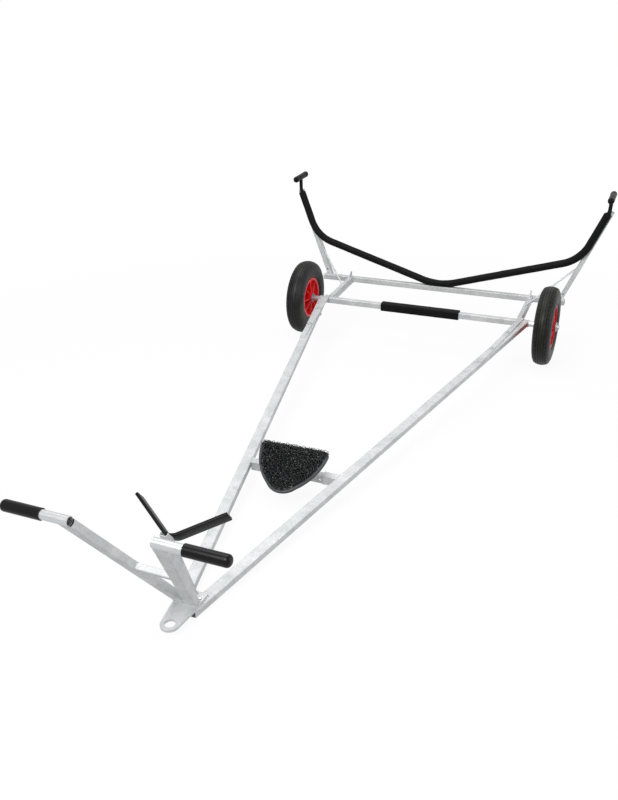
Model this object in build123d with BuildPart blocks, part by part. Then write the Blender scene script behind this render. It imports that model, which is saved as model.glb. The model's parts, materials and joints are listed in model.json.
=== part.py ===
"""Dinghy launching trolley: two pneumatic wheels, a galvanised A-frame, a padded hull cradle,
gunwale rests, a keel board, a bow rest and a pair of towing handles over a hitch eye.

Millimetres, +Z up, X across the trolley, the hitch end towards -Y. The trolley stands on its
two tyres and on the lower front edge of the drawbars, so the whole frame is tipped a few
degrees about the axle. Every steel piece is placed in the frame of the axle tube and laid
into the standing position by on_chassis()."""

import os
from math import acos, asin, atan2, cos, hypot, radians, sin, tan

from build123d import *

os.makedirs("parts", exist_ok=True)

# Box section steel, with the outer corner radius of cold formed tube
BOX_WALL = 2.0
BOX_CORNER = 3.5
WELD_GAP = 0.2

# Wheels: pneumatic tyres on ribbed plastic rims
TYRE_RADIUS = 200.0
TYRE_WIDTH = 96.0
TRACK = 1328.0
RIM_SEAT_RADIUS = 101.5
RIM_FLANGE_HEIGHT = 9.5
RIM_FLANGE_WIDTH = 4.5
RIM_HALF_WIDTH = 31.0
RIM_WALL = 4.0
RIM_WELL_RADIUS = 84.0
RIM_WELL_HALF_WIDTH = 10.0
RIM_RIBS = 8
RIM_RIB_THICKNESS = 5.0
RIM_WEB_THICKNESS = 6.0
HUB_RADIUS = 24.0
HUB_LENGTH = 92.0
BUSH_WALL = 4.0
BUSH_LENGTH = 24.0
BUSH_FLANGE = 3.0
CARCASS_WALL = 9.0
BEAD_GAP = 0.3
BEAD_HEEL_GAP = 0.6
BEAD_LIP_GAP = 1.8
BEAD_TOE_SHARE = 0.55
TYRE_SHOULDER_SHARE = 0.72
TYRE_LOWER_SIDE_SHARE = 0.955
TYRE_LOWER_SIDE_DROP = 19.0
TYRE_UPPER_SIDE_SHARE = 0.93
TYRE_UPPER_SIDE_RISE = 25.0

# Axle tube with welded stub spindles
AXLE_SIDE = 30.0
SPINDLE_PLUG_LENGTH = 60.0
SPINDLE_SHOULDER_LENGTH = 41.5
SPINDLE_SHOULDER_RADIUS = 15.0
SPINDLE_RADIUS = 12.5
SPINDLE_RUNNING_GAP = 0.1
SPINDLE_END_GAP = 0.5
SPINDLE_OVERHANG = 14.0
SPINDLE_CHAMFER = 1.5
WASHER_RADIUS = 25.0
WASHER_THICKNESS = 3.0
AXLE_PAD_SIDE = 45.0
AXLE_PAD_CORNER = 12.0
AXLE_PAD_HALF_LENGTH = 213.0
FOAM_GAP = 0.3

# Drawbars: box tubes laid flat, from the axle tube to the hitch
DRAWBAR_WIDTH = 40.0
DRAWBAR_HEIGHT = 25.0
DRAWBAR_REAR_INSET = 22.0
DRAWBAR_NOSE_Y = -2496.0

# Wheel frame: two rails on edge and a crossbar behind the axle
RAIL_WIDTH = 25.0
RAIL_HEIGHT = 40.0
RAIL_INSET = 54.5
CROSSBAR_SIDE = 30.0
CROSSBAR_Y = 377.0
CROSSBAR_DROP = 10.0
CROSSBAR_PAST_UPRIGHT = 24.0
TONGUE_WIDTH = 26.0
TONGUE_THICKNESS = 6.0
TONGUE_REAR_INSET = 41.0
TONGUE_TOE_IN = 89.0
TONGUE_CORNER = 7.8
TONGUE_FRONT_Y = -560.0
LUG_THICKNESS = 6.0
LUG_LENGTH = 60.0
LUG_HEIGHT = 28.0
LUG_TOP_WIDTH = 18.0
LUG_HOLE_RADIUS = 5.0
LUG_HOLE_IN = 13.5

# Cradle: a bent tube under foam, held by two raking uprights behind the crossbar
CRADLE_RADIUS = 12.5
CRADLE_WALL = 2.0
CRADLE_FOAM_RADIUS = 21.0
CRADLE_BOTTOM_BEND = 330.0
CRADLE_SIDE_BEND = 200.0
CRADLE_LEG_RISE = 16.2
CRADLE_TOP_Z = 472.0
CRADLE_TUBE_STICKOUT = 6.0
UPRIGHT_WIDTH = 25.0
UPRIGHT_DEPTH = 40.0
UPRIGHT_PAST_WHEEL = 13.0
UPRIGHT_RAKE = 0.43
UPRIGHT_LEAN = 9.0
UPRIGHT_TOP_Z = 474.0
UPRIGHT_OUTSET = 15.0
UPRIGHT_VENT_RADIUS = 4.0
UPRIGHT_VENT_Z = 28.0
BRACE_RADIUS = 5.0
BRACE_RAIL_Y = 205.0
BRACE_TOP_Z = 178.0
GUNWALE_POST_RADIUS = 10.0
GUNWALE_POST_INSERT = 60.0
GUNWALE_POST_KNEE = 8.0
GUNWALE_POST_BEND = 30.0
GUNWALE_PAD_RADIUS = 17.0
GUNWALE_PAD_LENGTH = 165.0
GUNWALE_PAD_PAST_UPRIGHT = 193.0
GUNWALE_PAD_Z = 550.0

# Nose: hitch plate, handle arms, grips and bow rest
HITCH_PLATE_THICKNESS = 8.0
HITCH_NOSE_RADIUS = 30.0
HITCH_HOLE_RADIUS = 17.0
HITCH_EYE_Y = -2572.0
HITCH_SHOULDER_Y = -2490.0
HITCH_SHOULDER_HALF_WIDTH = 42.0
HITCH_REAR_Y = -2420.0
ARM_WIDTH = 40.0
ARM_THICKNESS = 25.0
ARM_FOOT_X = 16.0
ARM_FOOT_Y = -2470.0
HANDLE_X = 141.0
HANDLE_Y = -2757.0
HANDLE_Z = 483.0
HANDLE_RADIUS = 14.0
HANDLE_WALL = 2.0
HANDLE_INNER_X = 123.0
HANDLE_OUTER_X = 323.0
GRIP_RADIUS = 17.0
GRIP_INNER_X = 210.0
GRIP_OUTER_X = 338.0
GRIP_GAP = 0.2
GRIP_END_ROUND = 11.9
ARM_BRACE_SIDE = 20.0
ARM_BRACE_SHARE = 0.47
BOW_APEX_Y = -2507.0
BOW_APEX_Z = 287.0
BOW_TIP_X = 149.0
BOW_LEG_RISE = 96.6
BOW_TILT = 36.2
BOW_STRAP_WIDTH = 45.0
BOW_STRAP_THICKNESS = 10.0
BOW_STRAP_BEND = 40.0
BOW_POST_SIDE = 25.0
BOW_POST_FOOT_Y = -2440.0

# Keel board on its crossmember between the drawbars
KEEL_ANGLE_SIDE = 30.0
KEEL_ANGLE_WALL = 4.0
KEEL_BEHIND_TIP = 137.0
KEEL_TOP_Z = 9.0
KEEL_HALF_LENGTH = 140.0
KEEL_STUB_LAP = 22.0
KEEL_HOLE_X = 108.0
KEEL_HOLE_DROP = 17.0
KEEL_HOLE_RADIUS = 4.5
BOARD_TIP_Y = -1824.0
BOARD_TIP_Z = 2.0
BOARD_TILT = 28.8
BOARD_LENGTH = 197.4
BOARD_HALF_WIDTH = 138.0
BOARD_THICKNESS = 12.0
BOARD_CORNER = 20.0
BOARD_NOSE_X = 58.0
BOARD_NOSE_RISE = 27.0
BOARD_SIDE_BULGE_X = 114.0
BOARD_SIDE_BULGE_V = 98.0
BOARD_RIM = 12.0
BOARD_RECESS = 4.0
MAT_THICKNESS = 10.0
BRACKET_HALF_WIDTH = 45.0
BRACKET_WALL = 4.0
BRACKET_LENGTH = 70.0

# The axle tube ends short of the hubs by the spindles' shoulders, and the frame follows its ends
hub_inner_x = TRACK / 2 - HUB_LENGTH / 2
AXLE_HALF_LENGTH = hub_inner_x - SPINDLE_END_GAP - SPINDLE_SHOULDER_LENGTH
RAIL_X = AXLE_HALF_LENGTH - RAIL_INSET
DRAWBAR_REAR_X = AXLE_HALF_LENGTH - DRAWBAR_REAR_INSET
TONGUE_REAR_X = AXLE_HALF_LENGTH - TONGUE_REAR_INSET
TONGUE_FRONT_X = TONGUE_REAR_X - TONGUE_TOE_IN
UPRIGHT_FOOT_X = TRACK / 2 + UPRIGHT_PAST_WHEEL
CROSSBAR_HALF_LENGTH = UPRIGHT_FOOT_X + CROSSBAR_PAST_UPRIGHT
GUNWALE_PAD_X = UPRIGHT_FOOT_X + GUNWALE_PAD_PAST_UPRIGHT
KEEL_FRONT_Y = BOARD_TIP_Y + KEEL_BEHIND_TIP

# The drawbars' inner edges meet on the centre plane at the nose
bar_run = -AXLE_SIDE / 2 - DRAWBAR_NOSE_Y
bar_reach = hypot(DRAWBAR_REAR_X, bar_run)
bar_angle = acos(DRAWBAR_WIDTH / 2 / bar_reach) - atan2(bar_run, DRAWBAR_REAR_X)
bar_slope = tan(bar_angle)
bar_half_breadth = DRAWBAR_WIDTH / 2 / cos(bar_angle)
frame_top = AXLE_SIDE / 2
bar_bottom = frame_top - DRAWBAR_HEIGHT


def bar_centre_x(y):
    """Distance of a drawbar's centre line from the centre plane."""
    return DRAWBAR_REAR_X + (y + AXLE_SIDE / 2) * bar_slope


# Standing position: tyres on the floor, and the drawbars' lower front edge too
pitch = asin(TYRE_RADIUS / hypot(DRAWBAR_NOSE_Y, bar_bottom)) - atan2(-bar_bottom, -DRAWBAR_NOSE_Y)

# Cradle plane: leans back with the uprights and carries the tube's centre line
lean = radians(UPRIGHT_LEAN)
crossbar_top = frame_top - CROSSBAR_DROP
crossbar_rear_y = CROSSBAR_Y + CROSSBAR_SIDE / 2
upright_front_offset = CRADLE_RADIUS + WELD_GAP
cradle_plane_y = crossbar_rear_y - upright_front_offset / cos(lean)


def cradle_y(z):
    """Y of the cradle plane at a height, both in the chassis frame."""
    return cradle_plane_y + (z - crossbar_top) * tan(lean)


gunwale_y = cradle_y(GUNWALE_PAD_Z)

# The origin lies on the floor, half way between the grips' front and the gunwale pads' rear
pad_rear_y = gunwale_y + GUNWALE_PAD_LENGTH / 2 - GUNWALE_PAD_RADIUS
rear_reach = pad_rear_y * cos(pitch) - GUNWALE_PAD_Z * sin(pitch) + GUNWALE_PAD_RADIUS
front_reach = HANDLE_Y * cos(pitch) - HANDLE_Z * sin(pitch) - GRIP_RADIUS
axle_y = -(rear_reach + front_reach) / 2
chassis = Plane(
    origin=(0, axle_y, TYRE_RADIUS), x_dir=(1, 0, 0), z_dir=(0, -sin(pitch), cos(pitch))
)


def on_chassis(origin=(0, 0, 0), x_dir=(1, 0, 0), z_dir=(0, 0, 1)):
    """A working plane given in the chassis frame."""
    return Plane(chassis * Plane(origin=origin, x_dir=x_dir, z_dir=z_dir).location)


def box_section(plane, width, height):
    """Hollow box section on a plane square to its tube."""
    with BuildSketch(plane) as section:
        RectangleRounded(width, height, BOX_CORNER)
        RectangleRounded(
            width - 2 * BOX_WALL, height - 2 * BOX_WALL, BOX_CORNER - BOX_WALL, mode=Mode.SUBTRACT
        )
    return section.sketch


def ring_section(plane, outer_radius, inner_radius):
    """Ring on a plane square to its tube."""
    with BuildSketch(plane) as section:
        Circle(outer_radius)
        Circle(inner_radius, mode=Mode.SUBTRACT)
    return section.sketch


def save(piece, label):
    """Names a finished piece and writes it to its own file."""
    piece.part.label = label
    export_step(piece.part, f"parts/{label}.step")


SIDES = ((-1, "left"), (1, "right"))

# Axle tube: one square tube right across, open at both ends for the stub spindles
with BuildPart() as axle_tube:
    end_plane = on_chassis((-AXLE_HALF_LENGTH, 0, 0), x_dir=(0, 1, 0), z_dir=(1, 0, 0))
    extrude(box_section(end_plane, AXLE_SIDE, AXLE_SIDE), amount=2 * AXLE_HALF_LENGTH)
save(axle_tube, "axle_tube")

# Stub spindles: square plug in the tube, shoulder for the wheel, journal and washer seat
hub_outer_x = TRACK / 2 + HUB_LENGTH / 2
washer_x = hub_outer_x + SPINDLE_END_GAP
spindle_end_x = washer_x + WASHER_THICKNESS + SPINDLE_OVERHANG
plug_side = AXLE_SIDE - 2 * BOX_WALL - 2 * WELD_GAP
for side, hand in SIDES:
    with BuildPart() as spindle:
        with BuildSketch(
            on_chassis((side * AXLE_HALF_LENGTH, 0, 0), x_dir=(0, 1, 0), z_dir=(-side, 0, 0))
        ):
            RectangleRounded(plug_side, plug_side, BOX_CORNER - BOX_WALL)
        extrude(amount=SPINDLE_PLUG_LENGTH)
        with BuildSketch(
            on_chassis((side * AXLE_HALF_LENGTH, 0, 0), x_dir=(0, 1, 0), z_dir=(side, 0, 0))
        ):
            Circle(SPINDLE_SHOULDER_RADIUS)
        extrude(amount=SPINDLE_SHOULDER_LENGTH)
        with BuildSketch(
            on_chassis((side * AXLE_HALF_LENGTH, 0, 0), x_dir=(0, 1, 0), z_dir=(side, 0, 0))
        ):
            Circle(SPINDLE_RADIUS)
        extrude(amount=spindle_end_x - AXLE_HALF_LENGTH)
        chamfer(spindle.faces().sort_by(Axis.X)[-1 if side > 0 else 0].edges(), SPINDLE_CHAMFER)
    save(spindle, f"spindle_{hand}")

    with BuildPart() as washer:
        washer_plane = on_chassis((side * washer_x, 0, 0), x_dir=(0, 1, 0), z_dir=(side, 0, 0))
        extrude(
            ring_section(washer_plane, WASHER_RADIUS, SPINDLE_RADIUS + WELD_GAP),
            amount=WASHER_THICKNESS,
        )
    save(washer, f"spindle_washer_{hand}")

# Foam sleeve round the middle of the axle tube, where the hull may touch it
with BuildPart() as axle_pad:
    with BuildSketch(
        on_chassis((-AXLE_PAD_HALF_LENGTH, 0, 0), x_dir=(0, 1, 0), z_dir=(1, 0, 0))
    ):
        RectangleRounded(AXLE_PAD_SIDE, AXLE_PAD_SIDE, AXLE_PAD_CORNER)
        Rectangle(AXLE_SIDE + 2 * FOAM_GAP, AXLE_SIDE + 2 * FOAM_GAP, mode=Mode.SUBTRACT)
    extrude(amount=2 * AXLE_PAD_HALF_LENGTH)
save(axle_pad, "axle_pad")

# Drawbars: box tubes laid flat, cut to the axle's front face and square across at the nose
for side, hand in SIDES:
    with BuildPart() as drawbar:
        middle_z = frame_top - DRAWBAR_HEIGHT / 2
        behind = DRAWBAR_WIDTH
        start = (side * bar_centre_x(behind), behind, middle_z)
        forward = (-side * sin(bar_angle), -cos(bar_angle), 0)
        across = (side * cos(bar_angle), -sin(bar_angle), 0)
        bar_length = (behind - DRAWBAR_NOSE_Y) / cos(bar_angle) + DRAWBAR_WIDTH
        extrude(
            box_section(on_chassis(start, across, forward), DRAWBAR_WIDTH, DRAWBAR_HEIGHT),
            amount=bar_length,
        )
        split(bisect_by=on_chassis((0, -AXLE_SIDE / 2, 0), z_dir=(0, -1, 0)), keep=Keep.TOP)
        split(bisect_by=on_chassis((0, DRAWBAR_NOSE_Y, 0), z_dir=(0, 1, 0)), keep=Keep.TOP)
    save(drawbar, f"drawbar_{hand}")

# Side rails: box tubes on edge from the axle's rear face to the crossbar's front face
rail_length = CROSSBAR_Y - CROSSBAR_SIDE / 2 - AXLE_SIDE / 2
for side, hand in SIDES:
    with BuildPart() as rail:
        rail_start = (side * RAIL_X, AXLE_SIDE / 2, frame_top - RAIL_HEIGHT / 2)
        extrude(
            box_section(on_chassis(rail_start, z_dir=(0, 1, 0)), RAIL_WIDTH, RAIL_HEIGHT),
            amount=rail_length,
        )
    save(rail, f"side_rail_{hand}")

# Rear crossbar, which carries the uprights and the bottom of the cradle
crossbar_z = crossbar_top - CROSSBAR_SIDE / 2
with BuildPart() as rear_crossbar:
    bar_end = on_chassis(
        (-CROSSBAR_HALF_LENGTH, CROSSBAR_Y, crossbar_z), x_dir=(0, 1, 0), z_dir=(1, 0, 0)
    )
    extrude(box_section(bar_end, CROSSBAR_SIDE, CROSSBAR_SIDE), amount=2 * CROSSBAR_HALF_LENGTH)
save(rear_crossbar, "rear_crossbar")

# Tongues: flat bars welded on the axle tube and lapped over the drawbars
for side, hand in SIDES:
    with BuildPart() as tongue:
        with BuildSketch(on_chassis((0, 0, frame_top))):
            with BuildLine():
                half = TONGUE_WIDTH / 2
                rear_in = (side * (TONGUE_REAR_X - half), AXLE_SIDE / 2)
                rear_out = (side * (TONGUE_REAR_X + half), AXLE_SIDE / 2)
                front_out = (side * (TONGUE_FRONT_X + half), TONGUE_FRONT_Y)
                front_in = (side * (TONGUE_FRONT_X - half), TONGUE_FRONT_Y)
                Polyline(rear_in, rear_out, front_out, front_in, close=True)
            make_face()
            fillet(vertices().group_by(Axis.Y)[0], TONGUE_CORNER)
        extrude(amount=TONGUE_THICKNESS)
    save(tongue, f"tongue_{hand}")

# Strap lugs: three-cornered plates on the rear ends of the rails
lug_rear_y = CROSSBAR_Y - CROSSBAR_SIDE / 2
for side, hand in SIDES:
    with BuildPart() as lug:
        with BuildSketch(on_chassis((side * RAIL_X, 0, frame_top), (0, 1, 0), (1, 0, 0))):
            with BuildLine():
                Polyline(
                    (lug_rear_y - LUG_LENGTH, 0),
                    (lug_rear_y, 0),
                    (lug_rear_y, LUG_HEIGHT),
                    (lug_rear_y - LUG_TOP_WIDTH, LUG_HEIGHT),
                    close=True,
                )
            make_face()
            with Locations((lug_rear_y - LUG_HOLE_IN, LUG_HEIGHT - LUG_TOP_WIDTH / 2)):
                Circle(LUG_HOLE_RADIUS, mode=Mode.SUBTRACT)
        extrude(amount=LUG_THICKNESS / 2, both=True)
    save(lug, f"strap_lug_{hand}")

# Cradle centre line in its own plane, X across and Y up the lean
to_lean = 1 / cos(lean)
cradle_plane = on_chassis(
    (0, cradle_plane_y, crossbar_top), x_dir=(1, 0, 0), z_dir=(0, -cos(lean), sin(lean))
)
leg = radians(CRADLE_LEG_RISE)
rake_in_plane = UPRIGHT_RAKE / to_lean
arm_turn = atan2(1, rake_in_plane) - leg
bottom_v = (CRADLE_RADIUS + WELD_GAP) * to_lean - CRADLE_BOTTOM_BEND * (1 / cos(leg) - 1)
arm_foot_x = UPRIGHT_FOOT_X - UPRIGHT_OUTSET
corner_x = (arm_foot_x + rake_in_plane * bottom_v) / (1 - rake_in_plane * tan(leg))
corner_v = bottom_v + corner_x * tan(leg)
top_v = (CRADLE_TOP_Z - crossbar_top) * to_lean
top_x = arm_foot_x + rake_in_plane * top_v


def cradle_path(shortening):
    """Bent tube's centre line, with each end cut back along its arm by shortening."""
    cut_v = shortening / hypot(1, rake_in_plane)
    cut_x = cut_v * rake_in_plane
    with BuildLine(cradle_plane) as path:
        FilletPolyline(
            (-top_x + cut_x, top_v - cut_v),
            (-corner_x, corner_v),
            (0, bottom_v),
            (corner_x, corner_v),
            (top_x - cut_x, top_v - cut_v),
            radius=[CRADLE_SIDE_BEND, CRADLE_BOTTOM_BEND, CRADLE_SIDE_BEND],
        )
    return path.line


def swept_ring(path, outer_radius, inner_radius):
    """Hollow round tube along a path, made from its two solid bars."""
    start = Plane(origin=path @ 0, z_dir=path % 0)
    with BuildSketch(start) as outer:
        Circle(outer_radius)
    with BuildSketch(start) as inner:
        Circle(inner_radius)
    sweep(outer.sketch, path=path)
    sweep(inner.sketch, path=path, mode=Mode.SUBTRACT)


with BuildPart() as cradle_tube:
    swept_ring(cradle_path(0), CRADLE_RADIUS, CRADLE_RADIUS - CRADLE_WALL)
save(cradle_tube, "cradle_tube")

# Uprights: box tubes behind the cradle arms, scarfed to the crossbar's rear face at the foot
upright_direction = Vector(UPRIGHT_RAKE, tan(lean), 1).normalized()
upright_outlines = []
for side, hand in SIDES:
    along = Vector(side * upright_direction.X, upright_direction.Y, upright_direction.Z)
    depth_dir = Vector(0, cos(lean), -sin(lean))
    width_dir = depth_dir.cross(along)
    foot_z = crossbar_top - CROSSBAR_SIDE
    foot_drop = foot_z - UPRIGHT_DEPTH - crossbar_top
    front_centre = Vector(
        side * (UPRIGHT_FOOT_X + UPRIGHT_RAKE * foot_drop),
        crossbar_rear_y + foot_drop * tan(lean),
        foot_z - UPRIGHT_DEPTH,
    )
    centre = front_centre + depth_dir * (UPRIGHT_DEPTH / 2)
    section_plane = on_chassis(tuple(centre), tuple(width_dir), tuple(along))
    rise = UPRIGHT_TOP_Z - foot_z + UPRIGHT_DEPTH
    length = rise / upright_direction.Z
    with BuildPart() as upright:
        extrude(box_section(section_plane, UPRIGHT_WIDTH, UPRIGHT_DEPTH), amount=length)
        split(bisect_by=on_chassis((0, 0, foot_z)), keep=Keep.TOP)
        with BuildSketch(on_chassis((0, crossbar_rear_y, 0), z_dir=(0, 1, 0))):
            with Locations((0, -crossbar_z)):
                Rectangle(4 * UPRIGHT_FOOT_X, CROSSBAR_SIDE)
        extrude(amount=-UPRIGHT_DEPTH, mode=Mode.SUBTRACT)
        vent_x = side * (UPRIGHT_FOOT_X + UPRIGHT_RAKE * (UPRIGHT_VENT_Z - crossbar_top))
        vent_y = crossbar_rear_y + (UPRIGHT_VENT_Z - crossbar_top) * tan(lean)
        with BuildSketch(
            on_chassis((vent_x, vent_y, UPRIGHT_VENT_Z), (1, 0, 0), tuple(depth_dir))
        ):
            Circle(UPRIGHT_VENT_RADIUS)
        extrude(amount=2 * BOX_WALL, mode=Mode.SUBTRACT)
    save(upright, f"upright_{hand}")
    with BuildPart() as outline:
        with BuildSketch(section_plane):
            Rectangle(UPRIGHT_WIDTH + 2 * FOAM_GAP, UPRIGHT_DEPTH + 2 * FOAM_GAP)
        extrude(amount=length + UPRIGHT_DEPTH)
    upright_outlines.append(outline.part)

# Foam over the cradle tube, slit where the uprights and the crossbar back it
with BuildPart() as cradle_foam:
    swept_ring(
        cradle_path(CRADLE_TUBE_STICKOUT), CRADLE_FOAM_RADIUS, CRADLE_RADIUS + FOAM_GAP
    )
    with BuildSketch(
        on_chassis((-CROSSBAR_HALF_LENGTH, CROSSBAR_Y, crossbar_z), (0, 1, 0), (1, 0, 0))
    ):
        Rectangle(CROSSBAR_SIDE + 2 * FOAM_GAP, CROSSBAR_SIDE + 2 * FOAM_GAP)
    extrude(amount=2 * CROSSBAR_HALF_LENGTH, mode=Mode.SUBTRACT)
    add(upright_outlines, mode=Mode.SUBTRACT)
save(cradle_foam, "cradle_foam")

# Braces: round bars from the tops of the rails to the uprights' inner faces
for side, hand in SIDES:
    top_centre_x = UPRIGHT_FOOT_X + UPRIGHT_RAKE * (BRACE_TOP_Z - crossbar_top)
    top_front_y = crossbar_rear_y + (BRACE_TOP_Z - crossbar_top) * tan(lean)
    foot_point = Vector(side * RAIL_X, BRACE_RAIL_Y, frame_top)
    head_point = Vector(side * top_centre_x, top_front_y + UPRIGHT_DEPTH / 2, BRACE_TOP_Z)
    brace_dir = (head_point - foot_point).normalized()
    start_point = foot_point - brace_dir * UPRIGHT_DEPTH
    inner_normal = Vector(0, cos(lean), -sin(lean)).cross(
        Vector(side * upright_direction.X, upright_direction.Y, upright_direction.Z)
    )
    if inner_normal.X * side > 0:
        inner_normal = inner_normal * -1
    inner_point = head_point + inner_normal * (UPRIGHT_WIDTH / 2)
    with BuildPart() as brace:
        with BuildSketch(on_chassis(tuple(start_point), (0, 0, 1), tuple(brace_dir))):
            Circle(BRACE_RADIUS)
        extrude(amount=(head_point - start_point).length)
        split(bisect_by=on_chassis((0, 0, frame_top)), keep=Keep.TOP)
        head_plane = on_chassis(
            tuple(inner_point), (0, cos(lean), -sin(lean)), tuple(inner_normal)
        )
        split(bisect_by=head_plane, keep=Keep.TOP)
    save(brace, f"brace_{hand}")

# Gunwale rests: a bent post in the top of each cradle arm and a rubber roll along the hull side
pad_v = (GUNWALE_PAD_Z - crossbar_top) * to_lean
foot_cut = GUNWALE_POST_INSERT / hypot(1, rake_in_plane)
for side, hand in SIDES:
    with BuildLine(cradle_plane) as post_line:
        FilletPolyline(
            (side * (top_x - foot_cut * rake_in_plane), top_v - foot_cut),
            (side * (top_x + GUNWALE_POST_KNEE * rake_in_plane), top_v + GUNWALE_POST_KNEE),
            (side * GUNWALE_PAD_X, pad_v),
            radius=GUNWALE_POST_BEND,
        )
    post_path = post_line.line
    pad_centre = Vector(side * GUNWALE_PAD_X, gunwale_y, GUNWALE_PAD_Z)
    with BuildPart() as gunwale_post:
        with BuildSketch(Plane(origin=post_path @ 0, z_dir=post_path % 0)):
            Circle(GUNWALE_POST_RADIUS)
        sweep(path=post_path)
    save(gunwale_post, f"gunwale_post_{hand}")
    with BuildPart() as gunwale_pad:
        half_straight = GUNWALE_PAD_LENGTH / 2 - GUNWALE_PAD_RADIUS
        with BuildSketch(on_chassis(tuple(pad_centre), (0, 1, 0), (1, 0, 0))):
            with BuildLine():
                Line((-half_straight, GUNWALE_PAD_RADIUS), (half_straight, GUNWALE_PAD_RADIUS))
                RadiusArc(
                    (half_straight, GUNWALE_PAD_RADIUS),
                    (half_straight + GUNWALE_PAD_RADIUS, 0),
                    GUNWALE_PAD_RADIUS,
                )
                Line(
                    (half_straight + GUNWALE_PAD_RADIUS, 0),
                    (-half_straight - GUNWALE_PAD_RADIUS, 0),
                )
                RadiusArc(
                    (-half_straight - GUNWALE_PAD_RADIUS, 0),
                    (-half_straight, GUNWALE_PAD_RADIUS),
                    GUNWALE_PAD_RADIUS,
                )
            make_face()
        roll_plane = on_chassis(tuple(pad_centre))
        revolve(axis=Axis(tuple(roll_plane.origin), tuple(roll_plane.y_dir)))
        with BuildSketch(Plane(origin=post_path @ 1, z_dir=post_path % 1)):
            Circle(GUNWALE_POST_RADIUS + FOAM_GAP)
        extrude(amount=-2 * GUNWALE_PAD_RADIUS, mode=Mode.SUBTRACT)
    save(gunwale_pad, f"gunwale_pad_{hand}")

# Hitch plate: laid on both drawbars, with a round nose and the hitch eye
plate_top = frame_top + HITCH_PLATE_THICKNESS
nose_reach = HITCH_SHOULDER_Y - HITCH_EYE_Y
nose_angle = atan2(HITCH_SHOULDER_HALF_WIDTH, nose_reach) - asin(
    HITCH_NOSE_RADIUS / hypot(HITCH_SHOULDER_HALF_WIDTH, nose_reach)
)
nose_x = HITCH_NOSE_RADIUS * cos(nose_angle)
nose_y = HITCH_EYE_Y + HITCH_NOSE_RADIUS * sin(-nose_angle)
with BuildPart() as hitch_plate:
    with BuildSketch(on_chassis((0, 0, frame_top))):
        with BuildLine():
            ThreePointArc((-nose_x, nose_y), (0, HITCH_EYE_Y - HITCH_NOSE_RADIUS), (nose_x, nose_y))
            Polyline(
                (nose_x, nose_y),
                (HITCH_SHOULDER_HALF_WIDTH, HITCH_SHOULDER_Y),
                (HITCH_SHOULDER_HALF_WIDTH, HITCH_REAR_Y),
                (-HITCH_SHOULDER_HALF_WIDTH, HITCH_REAR_Y),
                (-HITCH_SHOULDER_HALF_WIDTH, HITCH_SHOULDER_Y),
                (-nose_x, nose_y),
            )
        make_face()
        with Locations((0, HITCH_EYE_Y)):
            Circle(HITCH_HOLE_RADIUS, mode=Mode.SUBTRACT)
    extrude(amount=HITCH_PLATE_THICKNESS)
save(hitch_plate, "hitch_plate")

# Handle arms: box tubes rising from the plate in a V, mitred together at the foot and coped
# round the handle tubes at the top
arm_rise = Vector(0, HANDLE_Y - ARM_FOOT_Y, HANDLE_Z - plate_top)
arm_spread = HANDLE_X - ARM_FOOT_X
handle_planes = {}
for side, hand in SIDES:
    handle_planes[side] = on_chassis(
        (side * HANDLE_INNER_X, HANDLE_Y, HANDLE_Z), (0, 1, 0), (side, 0, 0)
    )
    arm_along = Vector(side * arm_spread, arm_rise.Y, arm_rise.Z).normalized()
    arm_normal = arm_rise.normalized().cross(Vector(1, 0, 0))
    arm_across = arm_normal.cross(arm_along)
    arm_foot = Vector(side * ARM_FOOT_X, ARM_FOOT_Y, plate_top)
    arm_start = arm_foot - arm_along * ARM_WIDTH
    arm_end = Vector(side * HANDLE_X, HANDLE_Y, HANDLE_Z)
    with BuildPart() as arm:
        extrude(
            box_section(
                on_chassis(tuple(arm_start), tuple(arm_across), tuple(arm_along)),
                ARM_WIDTH,
                ARM_THICKNESS,
            ),
            amount=(arm_end - arm_start).length,
        )
        split(bisect_by=on_chassis((0, 0, plate_top)), keep=Keep.TOP)
        mitre = on_chassis((side * WELD_GAP / 2, 0, 0), (0, 1, 0), (side, 0, 0))
        split(bisect_by=mitre, keep=Keep.TOP)
        with BuildSketch(handle_planes[side].offset(-ARM_WIDTH)):
            Circle(HANDLE_RADIUS + WELD_GAP)
        extrude(amount=HANDLE_OUTER_X - HANDLE_INNER_X, mode=Mode.SUBTRACT)
    save(arm, f"handle_arm_{hand}")

    # Handle tube, open at its inner end, and its moulded grip
    with BuildPart() as handle_tube:
        extrude(
            ring_section(handle_planes[side], HANDLE_RADIUS, HANDLE_RADIUS - HANDLE_WALL),
            amount=HANDLE_OUTER_X - HANDLE_INNER_X,
        )
    save(handle_tube, f"handle_tube_{hand}")
    with BuildPart() as grip:
        with BuildSketch(handle_planes[side].offset(GRIP_INNER_X - HANDLE_INNER_X)):
            Circle(GRIP_RADIUS)
        extrude(amount=GRIP_OUTER_X - GRIP_INNER_X)
        fillet(grip.faces().sort_by(Axis.X)[-1 if side > 0 else 0].edges(), GRIP_END_ROUND)
        with BuildSketch(handle_planes[side].offset(GRIP_INNER_X - HANDLE_INNER_X)):
            Circle(HANDLE_RADIUS + GRIP_GAP)
        extrude(amount=HANDLE_OUTER_X - GRIP_INNER_X + GRIP_GAP, mode=Mode.SUBTRACT)
    save(grip, f"grip_{hand}")

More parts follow.
